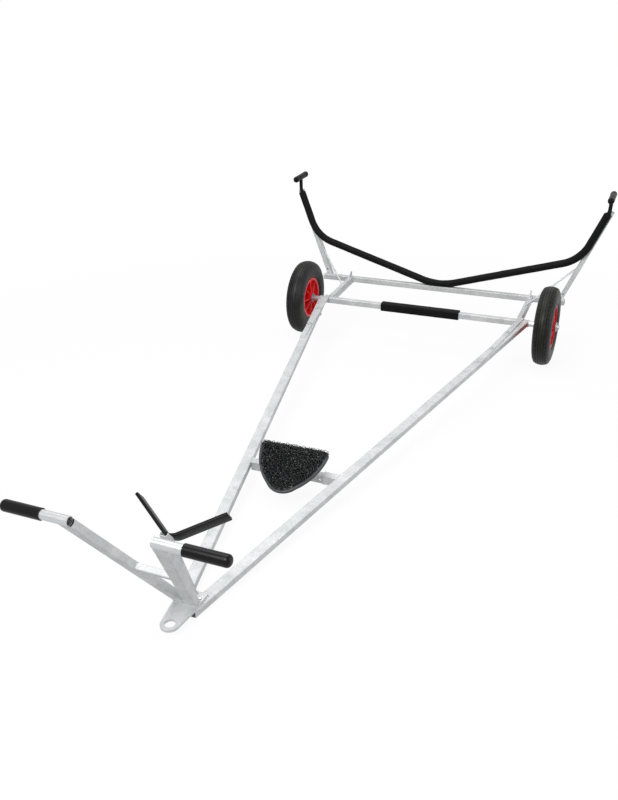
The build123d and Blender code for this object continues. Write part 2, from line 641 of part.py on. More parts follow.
# Cross brace between the arms, its ends cut to their inner faces
brace_centre = Vector(0, ARM_FOOT_Y, plate_top) + arm_rise * ARM_BRACE_SHARE
brace_reach = ARM_FOOT_X + arm_spread * ARM_BRACE_SHARE
with BuildPart() as arm_brace:
    with BuildSketch(
        on_chassis(
            (-brace_reach, brace_centre.Y, brace_centre.Z),
            tuple(arm_rise.normalized()),
            (1, 0, 0),
        )
    ):
        RectangleRounded(ARM_BRACE_SIDE, ARM_BRACE_SIDE, BOX_CORNER)
        inner_side = ARM_BRACE_SIDE - 2 * BOX_WALL
        RectangleRounded(inner_side, inner_side, BOX_CORNER - BOX_WALL, mode=Mode.SUBTRACT)
    extrude(amount=2 * brace_reach)
    for side, hand in SIDES:
        arm_along = Vector(side * arm_spread, arm_rise.Y, arm_rise.Z).normalized()
        inward = arm_along.cross(arm_rise.normalized().cross(Vector(1, 0, 0))).normalized()
        if inward.X * side > 0:
            inward = inward * -1
        inner_face = Vector(side * ARM_FOOT_X, ARM_FOOT_Y, plate_top) + inward * (ARM_WIDTH / 2)
        split(bisect_by=on_chassis(tuple(inner_face), (0, 0, 1), tuple(inward)), keep=Keep.TOP)
save(arm_brace, "arm_cross_brace")

# Bow rest: a V strap, open towards the boat, across the coped top of a leaning post
tilt = radians(BOW_TILT)
bow_axis = Vector(0, cos(tilt), sin(tilt))
bow_apex = Vector(0, BOW_APEX_Y, BOW_APEX_Z)
bow_plane = on_chassis(tuple(bow_apex), (1, 0, 0), (0, -sin(tilt), cos(tilt)))
apex_drop = BOW_STRAP_BEND * (1 / sin(atan2(BOW_TIP_X, BOW_LEG_RISE)) - 1)


def strap_outline(thickness):
    """The V strap seen along its width."""
    with BuildSketch(bow_plane) as strap:
        with BuildLine() as middle:
            FilletPolyline(
                (-BOW_TIP_X, BOW_LEG_RISE),
                (0, -apex_drop),
                (BOW_TIP_X, BOW_LEG_RISE),
                radius=BOW_STRAP_BEND,
            )
        trace(middle.line, line_width=thickness)
    return strap.sketch


with BuildPart() as bow_rest:
    extrude(strap_outline(BOW_STRAP_THICKNESS), amount=BOW_STRAP_WIDTH / 2, both=True)
save(bow_rest, "bow_rest")

post_head = bow_apex - bow_axis * (BOW_STRAP_THICKNESS / 2 + BOW_POST_SIDE / 2)
post_foot = Vector(0, BOW_POST_FOOT_Y, plate_top)
post_dir = (post_head - post_foot).normalized()
with BuildPart() as bow_post:
    extrude(
        box_section(
            on_chassis(tuple(post_foot - post_dir * BOW_POST_SIDE), (1, 0, 0), tuple(post_dir)),
            BOW_POST_SIDE,
            BOW_POST_SIDE,
        ),
        amount=(post_head - post_foot).length + 3 * BOW_POST_SIDE,
    )
    split(bisect_by=on_chassis((0, 0, plate_top)), keep=Keep.TOP)
    split(bisect_by=on_chassis(tuple(bow_apex), (1, 0, 0), tuple(bow_axis * -1)), keep=Keep.TOP)
    extrude(
        strap_outline(BOW_STRAP_THICKNESS + 2 * WELD_GAP),
        amount=BOW_STRAP_WIDTH,
        both=True,
        mode=Mode.SUBTRACT,
    )
save(bow_post, "bow_post")

# Keel crossmember: an angle bar bolted to short angle stubs on the drawbars
keel_centre_y = KEEL_FRONT_Y + KEEL_ANGLE_SIDE / 2


def angle_bar(start_x, end_x, front_y, top_z, side_length, wall):
    """Angle bar along X with its heel at the front top, level leg to the rear."""
    with BuildSketch(on_chassis((start_x, front_y, top_z), (0, 1, 0), (1, 0, 0))) as section:
        with BuildLine():
            Polyline(
                (0, 0),
                (side_length, 0),
                (side_length, -wall),
                (wall, -wall),
                (wall, -side_length),
                (0, -side_length),
                close=True,
            )
        make_face()
    return extrude(section.sketch, amount=end_x - start_x)


with BuildPart() as keel_crossmember:
    angle_bar(
        -KEEL_HALF_LENGTH,
        KEEL_HALF_LENGTH,
        KEEL_FRONT_Y,
        KEEL_TOP_Z,
        KEEL_ANGLE_SIDE,
        KEEL_ANGLE_WALL,
    )
    with BuildSketch(
        on_chassis((0, KEEL_FRONT_Y, KEEL_TOP_Z - KEEL_HOLE_DROP), (1, 0, 0), (0, 1, 0))
    ):
        with Locations((-KEEL_HOLE_X, 0), (KEEL_HOLE_X, 0)):
            Circle(KEEL_HOLE_RADIUS)
    extrude(amount=KEEL_ANGLE_WALL, mode=Mode.SUBTRACT)
save(keel_crossmember, "keel_crossmember")

for side, hand in SIDES:
    with BuildPart() as keel_stub:
        inner_x = KEEL_HALF_LENGTH - KEEL_STUB_LAP
        outer_x = bar_centre_x(keel_centre_y)
        angle_bar(
            min(side * inner_x, side * outer_x),
            max(side * inner_x, side * outer_x),
            KEEL_FRONT_Y - KEEL_ANGLE_WALL - WELD_GAP,
            KEEL_TOP_Z + KEEL_ANGLE_WALL + WELD_GAP,
            KEEL_ANGLE_SIDE + KEEL_ANGLE_WALL + WELD_GAP,
            KEEL_ANGLE_WALL,
        )
        bar_inner_x = bar_centre_x(KEEL_FRONT_Y) - bar_half_breadth
        bar_normal = (-side * cos(bar_angle), sin(bar_angle), 0)
        split(
            bisect_by=on_chassis((side * bar_inner_x, KEEL_FRONT_Y, 0), (0, 0, 1), bar_normal),
            keep=Keep.TOP,
        )
    save(keel_stub, f"keel_stub_{hand}")

# Keel board: a shield shaped tray, tipped up towards the boat, with a bristle mat in it
board_tilt = radians(BOARD_TILT)
board_normal = (0, -sin(board_tilt), cos(board_tilt))
board_plane = on_chassis((0, BOARD_TIP_Y, BOARD_TIP_Z), (1, 0, 0), board_normal)


def board_outline():
    """Closed outline of the board, nose at the origin and rear edge square across."""
    with BuildLine() as outline:
        nose_left = (-BOARD_NOSE_X, BOARD_NOSE_RISE)
        nose_right = (BOARD_NOSE_X, BOARD_NOSE_RISE)
        ThreePointArc(nose_left, (0, 0), nose_right)
        rear_right = (BOARD_HALF_WIDTH, BOARD_LENGTH)
        rear_left = (-BOARD_HALF_WIDTH, BOARD_LENGTH)
        ThreePointArc(nose_right, (BOARD_SIDE_BULGE_X, BOARD_SIDE_BULGE_V), rear_right)
        Line(rear_right, rear_left)
        ThreePointArc(rear_left, (-BOARD_SIDE_BULGE_X, BOARD_SIDE_BULGE_V), nose_left)
    return outline.line


with BuildPart() as keel_board:
    with BuildSketch(board_plane):
        make_face(board_outline())
        fillet(vertices().group_by(Axis.Y)[-1], BOARD_CORNER)
    extrude(amount=-BOARD_THICKNESS)
    with BuildSketch(board_plane):
        make_face(board_outline())
        fillet(vertices().group_by(Axis.Y)[-1], BOARD_CORNER)
        offset(amount=-BOARD_RIM)
    extrude(amount=-BOARD_RECESS, mode=Mode.SUBTRACT)
save(keel_board, "keel_board")

with BuildPart() as keel_mat:
    with BuildSketch(board_plane.offset(-BOARD_RECESS + FOAM_GAP)):
        make_face(board_outline())
        fillet(vertices().group_by(Axis.Y)[-1], BOARD_CORNER)
        offset(amount=-BOARD_RIM - FOAM_GAP)
    extrude(amount=MAT_THICKNESS)
save(keel_mat, "keel_mat")

# Board bracket: two cheeks standing on the crossmember under a sloping top plate
with BuildPart() as board_bracket:
    under = BOARD_THICKNESS / cos(board_tilt)
    level_y = KEEL_FRONT_Y + KEEL_ANGLE_SIDE - KEEL_ANGLE_WALL
    slope = tan(board_tilt)
    height_front = BOARD_TIP_Z + (KEEL_FRONT_Y - BOARD_TIP_Y) * slope - under
    height_rear = BOARD_TIP_Z + (level_y - BOARD_TIP_Y) * slope - under
    for side, hand in SIDES:
        with BuildSketch(
            on_chassis((side * BRACKET_HALF_WIDTH, 0, 0), (0, 1, 0), (1, 0, 0))
        ):
            with BuildLine():
                Polyline(
                    (KEEL_FRONT_Y, KEEL_TOP_Z),
                    (level_y, KEEL_TOP_Z),
                    (level_y, height_rear),
                    (KEEL_FRONT_Y, height_front),
                    close=True,
                )
            make_face()
        extrude(amount=BRACKET_WALL / 2, both=True)
    plate_v = (KEEL_FRONT_Y + KEEL_ANGLE_SIDE / 2 - BOARD_TIP_Y) / cos(board_tilt)
    with BuildSketch(board_plane.offset(-BOARD_THICKNESS)):
        with Locations((0, plate_v)):
            Rectangle(2 * BRACKET_HALF_WIDTH + 2 * BRACKET_WALL, BRACKET_LENGTH)
    extrude(amount=-BRACKET_WALL)
save(board_bracket, "board_bracket")

# Wheels: tyre, ribbed rim and two flanged bushes, turned about the spindle
for side, hand in SIDES:
    wheel_centre = (side * TRACK / 2, axle_y, TYRE_RADIUS)
    half_plane = Plane(origin=wheel_centre, x_dir=(1, 0, 0), z_dir=(0, -1, 0))
    wheel_axis = Axis(wheel_centre, (1, 0, 0))
    bead_radius = RIM_SEAT_RADIUS + BEAD_GAP
    bead_x = RIM_HALF_WIDTH - BEAD_GAP
    flange_top = RIM_SEAT_RADIUS + RIM_FLANGE_HEIGHT
    side_radius = (bead_radius + TYRE_RADIUS) / 2
    half_tyre = TYRE_WIDTH / 2
    shoulder_x = half_tyre * TYRE_SHOULDER_SHARE
    shoulder_radius = TYRE_RADIUS - 8
    with BuildPart() as tyre:
        with BuildSketch(half_plane):
            with BuildLine():
                for way in (-1, 1):
                    Polyline(
                        (way * bead_x * BEAD_TOE_SHARE, bead_radius),
                        (way * bead_x, bead_radius),
                        (way * bead_x, flange_top + BEAD_HEEL_GAP),
                        (way * (bead_x + RIM_FLANGE_WIDTH), flange_top + BEAD_LIP_GAP),
                    )
                    ThreePointArc(
                        (way * (bead_x + RIM_FLANGE_WIDTH), flange_top + BEAD_LIP_GAP),
                        (way * half_tyre * TYRE_LOWER_SIDE_SHARE, side_radius - TYRE_LOWER_SIDE_DROP),
                        (way * half_tyre, side_radius),
                    )
                    ThreePointArc(
                        (way * half_tyre, side_radius),
                        (way * half_tyre * TYRE_UPPER_SIDE_SHARE, side_radius + TYRE_UPPER_SIDE_RISE),
                        (way * shoulder_x, shoulder_radius),
                    )
                    Line(
                        (way * bead_x * BEAD_TOE_SHARE, bead_radius),
                        (way * bead_x * BEAD_TOE_SHARE, flange_top),
                    )
                    ThreePointArc(
                        (way * bead_x * BEAD_TOE_SHARE, flange_top),
                        (way * (half_tyre - CARCASS_WALL), side_radius),
                        (0, TYRE_RADIUS - CARCASS_WALL),
                    )
                ThreePointArc(
                    (-shoulder_x, shoulder_radius),
                    (0, TYRE_RADIUS),
                    (shoulder_x, shoulder_radius),
                )
            make_face()
        revolve(axis=wheel_axis)
    save(tyre, f"tyre_{hand}")

    barrel_inner = RIM_SEAT_RADIUS - RIM_WALL
    well_inner = RIM_WELL_RADIUS - RIM_WALL
    rim_outer_x = RIM_HALF_WIDTH + RIM_FLANGE_WIDTH
    hub_bore = SPINDLE_RADIUS + BUSH_WALL + WELD_GAP
    with BuildPart() as rim:
        with BuildSketch(half_plane):
            with BuildLine():
                Polyline(
                    (-rim_outer_x, flange_top),
                    (-RIM_HALF_WIDTH, flange_top),
                    (-RIM_HALF_WIDTH, RIM_SEAT_RADIUS),
                    (-RIM_WELL_HALF_WIDTH - RIM_WALL, RIM_SEAT_RADIUS),
                    (-RIM_WELL_HALF_WIDTH, RIM_WELL_RADIUS),
                    (RIM_WELL_HALF_WIDTH, RIM_WELL_RADIUS),
                    (RIM_WELL_HALF_WIDTH + RIM_WALL, RIM_SEAT_RADIUS),
                    (RIM_HALF_WIDTH, RIM_SEAT_RADIUS),
                    (RIM_HALF_WIDTH, flange_top),
                    (rim_outer_x, flange_top),
                    (rim_outer_x, barrel_inner),
                    (RIM_WELL_HALF_WIDTH + 2 * RIM_WALL, barrel_inner),
                    (RIM_WELL_HALF_WIDTH + RIM_WALL, well_inner),
                    (-RIM_WELL_HALF_WIDTH - RIM_WALL, well_inner),
                    (-RIM_WELL_HALF_WIDTH - 2 * RIM_WALL, barrel_inner),
                    (-rim_outer_x, barrel_inner),
                    close=True,
                )
            make_face()
            with Locations((0, (HUB_RADIUS + well_inner) / 2)):
                Rectangle(RIM_WEB_THICKNESS, well_inner - HUB_RADIUS + RIM_WALL)
            with Locations((0, (HUB_RADIUS + hub_bore) / 2)):
                Rectangle(HUB_LENGTH - 2 * BUSH_FLANGE, HUB_RADIUS - hub_bore)
        revolve(axis=wheel_axis)
        hub_half = HUB_LENGTH / 2 - BUSH_FLANGE
        rib_inner = HUB_RADIUS - RIM_WALL / 2
        for rib in range(RIM_RIBS):
            turn = radians(360 / RIM_RIBS * rib)
            rib_plane = Plane(
                origin=wheel_centre,
                x_dir=(1, 0, 0),
                z_dir=(0, -cos(turn), -sin(turn)),
            )
            with BuildSketch(rib_plane):
                with BuildLine():
                    Polyline(
                        (-hub_half + RIM_WALL, rib_inner),
                        (hub_half - RIM_WALL, rib_inner),
                        (RIM_HALF_WIDTH - RIM_WALL, barrel_inner + RIM_WALL / 2),
                        (RIM_WELL_HALF_WIDTH, barrel_inner + RIM_WALL / 2),
                        (RIM_WELL_HALF_WIDTH, well_inner + RIM_WALL / 2),
                        (-RIM_WELL_HALF_WIDTH, well_inner + RIM_WALL / 2),
                        (-RIM_WELL_HALF_WIDTH, barrel_inner + RIM_WALL / 2),
                        (-RIM_HALF_WIDTH + RIM_WALL, barrel_inner + RIM_WALL / 2),
                        close=True,
                    )
                make_face()
            extrude(amount=RIM_RIB_THICKNESS / 2, both=True)
    save(rim, f"rim_{hand}")

    for way, face in ((-side, "inner"), (side, "outer")):
        bore = SPINDLE_RADIUS + SPINDLE_RUNNING_GAP
        with BuildPart() as bush:
            with BuildSketch(half_plane):
                with BuildLine():
                    Polyline(
                        (way * (HUB_LENGTH / 2 - BUSH_LENGTH), bore),
                        (way * HUB_LENGTH / 2, bore),
                        (way * HUB_LENGTH / 2, HUB_RADIUS),
                        (way * (HUB_LENGTH / 2 - BUSH_FLANGE), HUB_RADIUS),
                        (way * (HUB_LENGTH / 2 - BUSH_FLANGE), SPINDLE_RADIUS + BUSH_WALL),
                        (way * (HUB_LENGTH / 2 - BUSH_LENGTH), SPINDLE_RADIUS + BUSH_WALL),
                        close=True,
                    )
                make_face()
            revolve(axis=wheel_axis)
        save(bush, f"hub_bush_{hand}_{face}")
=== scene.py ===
import json
import math
import random

import bpy
from mathutils import Matrix, Vector, noise
from mathutils.bvhtree import BVHTree


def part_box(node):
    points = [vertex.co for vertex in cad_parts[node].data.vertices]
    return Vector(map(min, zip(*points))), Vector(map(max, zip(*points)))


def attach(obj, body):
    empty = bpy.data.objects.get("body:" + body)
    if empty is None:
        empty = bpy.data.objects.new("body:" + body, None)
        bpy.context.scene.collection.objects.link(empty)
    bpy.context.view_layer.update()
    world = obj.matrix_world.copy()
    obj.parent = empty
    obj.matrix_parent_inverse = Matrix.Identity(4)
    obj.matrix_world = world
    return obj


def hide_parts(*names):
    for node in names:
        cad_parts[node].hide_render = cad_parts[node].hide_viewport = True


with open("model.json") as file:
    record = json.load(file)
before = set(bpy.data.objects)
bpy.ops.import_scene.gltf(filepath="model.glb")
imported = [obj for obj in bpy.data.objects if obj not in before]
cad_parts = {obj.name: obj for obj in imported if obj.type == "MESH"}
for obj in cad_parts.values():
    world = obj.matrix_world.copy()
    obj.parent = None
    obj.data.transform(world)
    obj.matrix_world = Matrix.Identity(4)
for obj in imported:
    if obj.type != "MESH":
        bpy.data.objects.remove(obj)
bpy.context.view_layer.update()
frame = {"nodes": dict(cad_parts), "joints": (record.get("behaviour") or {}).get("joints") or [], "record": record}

# The standing chassis
# The welded frame is tipped about the axle until the drawbars' noses rest on the floor. What is
# fixed to it is placed in the chassis's own axes: X across, Y back along the rails, Z square up.
record = frame["record"]
hitch_eye = next(mount for mount in record["mounts"] if mount["name"] == "hitch_eye")
wheel_joint = frame["joints"][0]
axle_centre = Vector((0, wheel_joint["pos_m"][1], wheel_joint["pos_m"][2]))
pitch = math.atan2(-hitch_eye["axis"][1], hitch_eye["axis"][2])
chassis = Matrix.Translation(axle_centre) @ Matrix.Rotation(pitch, 4, "X")


# Galvanised steel frame
# Box tubes and flats, dipped whole in molten zinc after welding. The zinc dries to a pale matt
# grey with a flaky spangle of 6 to 10 mm, cloudy patches and a slightly lumpy skin.
SPANGLE = 0.008
CLOUD = 0.070
FLAKE_SHARE = 0.14
LUMP, LUMP_HEIGHT = 0.00385, 0.0006


def hex_colour(text):
    """An sRGB hex colour as linear red, green, blue and alpha."""
    levels = [int(text[i : i + 2], 16) / 255 for i in (0, 2, 4)]
    linear = [v / 12.92 if v <= 0.04045 else ((v + 0.055) / 1.055) ** 2.4 for v in levels]
    return (*linear, 1.0)


def add_node(tree, kind, settings=None, links=None):
    """A shader node with its settings and its inputs, which are values or other outputs."""
    node = tree.nodes.new("ShaderNode" + kind)
    for key, value in (settings or {}).items():
        setattr(node, key, value)
    for key, value in (links or {}).items():
        if isinstance(value, bpy.types.NodeSocket):
            tree.links.new(value, node.inputs[key])
        else:
            node.inputs[key].default_value = value
    return node


def new_material(name, colour, roughness, metallic=0.0):
    """A material with its surface shader and the object's own coordinates."""
    material = bpy.data.materials.new(name)
    material.use_nodes = True
    tree = material.node_tree
    surface = tree.nodes["Principled BSDF"]
    surface.inputs["Base Color"].default_value = hex_colour(colour)
    surface.inputs["Roughness"].default_value = roughness
    surface.inputs["Metallic"].default_value = metallic
    place = add_node(tree, "TexCoord").outputs["Object"]
    return material, tree, surface, place


def blend_colours(tree, share, low, high):
    """A colour that runs from low to high with a share from 0 to 1."""
    ramp = add_node(tree, "ValToRGB", links={"Fac": share})
    ramp.color_ramp.elements[0].color = hex_colour(low)
    ramp.color_ramp.elements[1].color = hex_colour(high)
    return ramp.outputs["Color"]


def add_bump(tree, surface, height, distance, strength=1.0):
    """Relief of a real depth in metres on a surface."""
    bump = add_node(
        tree, "Bump", links={"Height": height, "Distance": distance, "Strength": strength}
    )
    tree.links.new(bump.outputs["Normal"], surface.inputs["Normal"])


# Matt zinc: a flake's own grey is laid over the clouds, and what is darker is duller too
zinc, tree, surface, place = new_material(
    "hot_dip_galvanised_steel", "C6CACC", roughness=0.5, metallic=0.42
)
spangle = add_node(
    tree, "TexVoronoi", {"feature": "F1"}, {"Vector": place, "Scale": 1 / SPANGLE}
)
flake = add_node(
    tree, "SeparateColor", links={"Color": spangle.outputs["Color"]}
).outputs["Red"]
cloud = add_node(
    tree, "TexNoise", links={"Vector": place, "Scale": 1 / CLOUD, "Detail": 5.0, "Roughness": 0.6}
).outputs["Fac"]
patchy = add_node(
    tree, "Math", {"operation": "MULTIPLY_ADD"}, {0: flake, 1: FLAKE_SHARE, 2: cloud}
).outputs[0]
spread = add_node(
    tree, "MapRange", links={"Value": patchy, "From Min": 0.38, "From Max": 0.92}
).outputs["Result"]
tree.links.new(blend_colours(tree, spread, "C6C9CA", "E9EAEA"), surface.inputs["Base Color"])
dull = add_node(
    tree,
    "MapRange",
    links={"Value": patchy, "From Min": 0.3, "From Max": 0.9, "To Min": 0.62, "To Max": 0.46},
).outputs["Result"]
tree.links.new(dull, surface.inputs["Roughness"])
skin = add_node(
    tree, "TexNoise", links={"Vector": place, "Scale": 1 / LUMP, "Detail": 3.0}
).outputs["Fac"]
add_bump(tree, surface, skin, LUMP_HEIGHT, strength=0.5)

slot_of = {entry["node"]: entry["material_slot"] for entry in record["subparts"]}


def coat(piece, material):
    """Gives a piece one finish all over."""
    piece.data.materials.clear()
    piece.data.materials.append(material)


def coat_slot(slot, material):
    """Gives every CAD node of a slot its finish."""
    for name, node in frame["nodes"].items():
        if slot_of[name] == slot:
            coat(node, material)


coat_slot("galvanised_steel", zinc)

# Bright zinc plate
# The handle tubes, spindles, bolts and washers are plated, not dipped: smoother and brighter. The
# fine marks of drawing and turning are drawn 1 mm wide, coarser than they are, so that they show.
MARK_LENGTH, MARK_WIDTH, MARK_DEPTH = 0.025, 0.00111, 0.0001
plate, tree, surface, place = new_material("bright_zinc_plate", "D6D8DA", roughness=0.3, metallic=0.75)
marks = (1 / MARK_LENGTH, 1 / MARK_WIDTH, 1 / MARK_WIDTH)
drawn = add_node(tree, "Mapping", links={"Vector": place, "Scale": marks})
grain = add_node(
    tree, "TexNoise", links={"Vector": drawn.outputs["Vector"], "Scale": 1.0, "Detail": 3.0}
).outputs["Fac"]
tree.links.new(blend_colours(tree, grain, "BEC2C5", "ECEDEE"), surface.inputs["Base Color"])
gloss = add_node(
    tree, "MapRange", links={"Value": grain, "To Min": 0.2, "To Max": 0.38}
).outputs["Result"]
tree.links.new(gloss, surface.inputs["Roughness"])
add_bump(tree, surface, grain, MARK_DEPTH, strength=0.4)
coat_slot("bright_zinc", plate)

# Weld beads
# Each joint in the frame is MIG welded before dipping. A bead is a row of overlapping ripples,
# so one drop, shortened along the seam, is copied at the pitch of the ripples.
BEAD_RADIUS, RIPPLE, DROP_LENGTH = 0.0030, 0.0028, 0.75
WANDER = 0.0005
SMALLEST_DROP, LARGEST_DROP = 0.85, 1.12
ACROSS, ALONG, UP = Vector((1, 0, 0)), Vector((0, 1, 0)), Vector((0, 0, 1))
drops = random.Random(7)


def only(piece):
    """Leaves one piece selected and active."""
    bpy.ops.object.select_all(action="DESELECT")
    piece.select_set(True)
    bpy.context.view_layer.objects.active = piece


def dress(piece, name, material, body, smooth=40):
    """Names a finished piece, gives it its finish and lets it ride on its body."""
    piece.name = name
    piece.data.name = name
    coat(piece, material)
    only(piece)
    bpy.ops.object.shade_smooth_by_angle(angle=math.radians(smooth))
    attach(piece, body)


def joined(pieces):
    """Joins pieces into one."""
    bpy.ops.object.select_all(action="DESELECT")
    for piece in pieces:
        piece.select_set(True)
    bpy.context.view_layer.objects.active = pieces[0]
    bpy.ops.object.join()
    return bpy.context.view_layer.objects.active


def weld(seams):
    """One mesh of beads along straight seams, given as pairs of chassis points in metres."""
    bpy.ops.mesh.primitive_uv_sphere_add(segments=8, ring_count=5, radius=BEAD_RADIUS)
    drop = bpy.context.object
    parts = []
    for start, end in seams:
        start, end = chassis @ Vector(start), chassis @ Vector(end)
        count = max(2, round((end - start).length / RIPPLE))
        turn = (end - start).to_track_quat("Z", "Y").to_matrix().to_4x4()
        for i in range(count + 1):
            copy = drop.copy()
            copy.data = drop.data.copy()
            bpy.context.collection.objects.link(copy)
            spot = start.lerp(end, i / count)
            jitter = Vector([drops.uniform(-WANDER, WANDER) for _ in range(3)])
            swell = drops.uniform(SMALLEST_DROP, LARGEST_DROP)
            copy.data.transform(
                Matrix.Translation(spot + jitter)
                @ turn
                @ Matrix.Diagonal((swell, swell, DROP_LENGTH, 1.0))
            )
            parts.append(copy)
    bpy.data.objects.remove(drop)
    return joined(parts)


def around(centre, first, second, first_side, second_side):
    """The four seams round a rectangle on two directions from its centre."""
    corners = []
    for a, b in ((-1, -1), (1, -1), (1, 1), (-1, 1)):
        corner = Vector(centre) + first * first_side / 2 * a + second * second_side / 2 * b
        corners.append(corner)
    return [(corners[i], corners[(i + 1) % 4]) for i in range(4)]


AXLE_HALF = 0.015
BOX_TOP = 0.015
RAIL_X, RAIL_WIDTH, RAIL_HEIGHT, RAIL_SEAM_HEIGHT = 0.5215, 0.025, 0.040, 0.032
CROSSBAR_FRONT, CROSSBAR_BACK, CROSSBAR_TOP, CROSSBAR_HEIGHT = 0.362, 0.392, 0.005, 0.030
DRAWBAR_REAR_X, DRAWBAR_END_HALF, DRAWBAR_HEIGHT = 0.554, 0.02046, 0.025
LUG_LENGTH, LUG_SEAM, LUG_HALF = 0.060, 0.058, 0.003
TONGUE_REAR_X, TONGUE_SEAM_HALF, TONGUE_SEAM_RISE = 0.535, 0.013, 0.001
UPRIGHT_X, UPRIGHT_RAKE, UPRIGHT_SEAM_HALF = 0.677, 0.43, 0.0135
rail_mid = BOX_TOP - RAIL_HEIGHT / 2
crossbar_mid = CROSSBAR_TOP - CROSSBAR_HEIGHT / 2
drawbar_mid = BOX_TOP - DRAWBAR_HEIGHT / 2
tongue_seam_z = BOX_TOP + TONGUE_SEAM_RISE
foot_lean = UPRIGHT_RAKE * CROSSBAR_HEIGHT / 2
foot_x = UPRIGHT_X - foot_lean
seams = []
for side in (-1, 1):
    rail = side * RAIL_X
    seams += around((rail, AXLE_HALF, rail_mid), ACROSS, UP, RAIL_WIDTH, RAIL_SEAM_HEIGHT)
    seams += around((rail, CROSSBAR_FRONT, crossbar_mid), ACROSS, UP, RAIL_WIDTH, CROSSBAR_HEIGHT)
    drawbar_end = (side * DRAWBAR_REAR_X, -AXLE_HALF, drawbar_mid)
    seams += around(drawbar_end, ACROSS, UP, 2 * DRAWBAR_END_HALF, DRAWBAR_HEIGHT)
    lug_front = Vector((rail, CROSSBAR_FRONT - LUG_LENGTH, BOX_TOP))
    for way in (-LUG_HALF, LUG_HALF):
        lug_edge = lug_front + ACROSS * way
        seams.append((lug_edge, lug_edge + ALONG * LUG_SEAM))
    tongue_inner = side * (TONGUE_REAR_X - TONGUE_SEAM_HALF)
    tongue_outer = side * (TONGUE_REAR_X + TONGUE_SEAM_HALF)
    seams.append(
        ((tongue_inner, AXLE_HALF, tongue_seam_z), (tongue_outer, AXLE_HALF, tongue_seam_z))
    )
    for way in (-UPRIGHT_SEAM_HALF, UPRIGHT_SEAM_HALF):
        low_x, high_x = side * (foot_x + way - foot_lean), side * (foot_x + way + foot_lean)
        low = (low_x, CROSSBAR_BACK, CROSSBAR_TOP - CROSSBAR_HEIGHT)
        seams.append((low, (high_x, CROSSBAR_BACK, CROSSBAR_TOP)))
dress(weld(seams), "weld_beads_frame", zinc, "frame")

# Hitch, handle and keel welds
# The handle arms, bow post and hitch plate are welded to one another round their feet, and the
# two keel stubs where they lap over the crossmember's ends.
PLATE_THICK, PLATE_HALF, PLATE_FRONT, PLATE_REAR = 0.008, 0.042, -2.490, -2.420
PLATE_REAR_SEAM_HALF = 0.040
POST_Y, POST_WIDTH, POST_DEPTH = -2.440, 0.025, 0.026
ARM_INNER, ARM_OUTER, ARM_FRONT, ARM_REAR = 0.002, 0.037, -2.486, -2.456
LAP_INNER, LAP_OUTER, LAP_FRONT, LAP_REAR = 0.118, 0.140, -1.689, -1.658
LAP_END_Z, LAP_SIDE_Y, LAP_SIDE_Z = 0.0092, -1.6578, 0.006
plate_top = BOX_TOP + PLATE_THICK
plate_mid = plate_top - PLATE_THICK / 2
seams = [
    ((-PLATE_HALF, PLATE_FRONT, BOX_TOP), (-PLATE_HALF, PLATE_REAR, BOX_TOP)),
    ((PLATE_HALF, PLATE_FRONT, BOX_TOP), (PLATE_HALF, PLATE_REAR, BOX_TOP)),
    (
        (-PLATE_REAR_SEAM_HALF, PLATE_REAR, plate_mid),
        (PLATE_REAR_SEAM_HALF, PLATE_REAR, plate_mid),
    ),
]
seams += around((0, POST_Y, plate_top), ACROSS, ALONG, POST_WIDTH, POST_DEPTH)
for side in (-1, 1):
    arm_inner, arm_outer = side * ARM_INNER, side * ARM_OUTER
    lap_inner, lap_outer = side * LAP_INNER, side * LAP_OUTER
    seams += [
        ((arm_inner, ARM_FRONT, plate_top), (arm_outer, ARM_FRONT, plate_top)),
        ((arm_inner, ARM_REAR, plate_top), (arm_outer, ARM_REAR, plate_top)),
        ((arm_outer, ARM_FRONT, plate_top), (arm_outer, ARM_REAR, plate_top)),
        ((lap_inner, LAP_FRONT, LAP_END_Z), (lap_inner, LAP_REAR, LAP_END_Z)),
        ((lap_outer, LAP_SIDE_Y, LAP_SIDE_Z), (lap_inner, LAP_SIDE_Y, LAP_SIDE_Z)),
    ]
dress(weld(seams), "weld_beads_hitch", zinc, "frame")

# Bolts
# Zinc plated hexagon bolts, 13 mm across the flats, hold the tongues and the hitch plate to the
# drawbars. Each has a washer under its head and a nut at the shank's end, with their edges turned.
SIDES = ((-1, "left"), (1, "right"))
BOLT_FLATS, HEAD_TALL, NUT_TALL, HEAD_EDGE = 0.013, 0.0052, 0.0078, 0.00065
WASHER_RADIUS, WASHER_THICK, WASHER_EDGE = 0.01326, 0.00156, 0.000312
THREAD_RADIUS = 0.0039
TONGUE_TOP, TONGUE_SHANK, TONGUE_FRONT_X, TONGUE_RUN = 0.021, 0.031, 0.446, 0.575
TONGUE_BOLT_ROWS = (("rear", -0.190), ("front", -0.400))
HITCH_BOLT_X, HITCH_BOLT_Y, HITCH_SHANK = 0.0295, -2.4500, 0.010


def settle(piece, matrix=None):
    """Puts a piece's place into its mesh, after an extra move where one is given."""
    if matrix is not None:
        piece.matrix_world = matrix @ piece.matrix_world
    bpy.context.view_layer.update()
    piece.data.transform(piece.matrix_world)
    piece.matrix_world = Matrix.Identity(4)


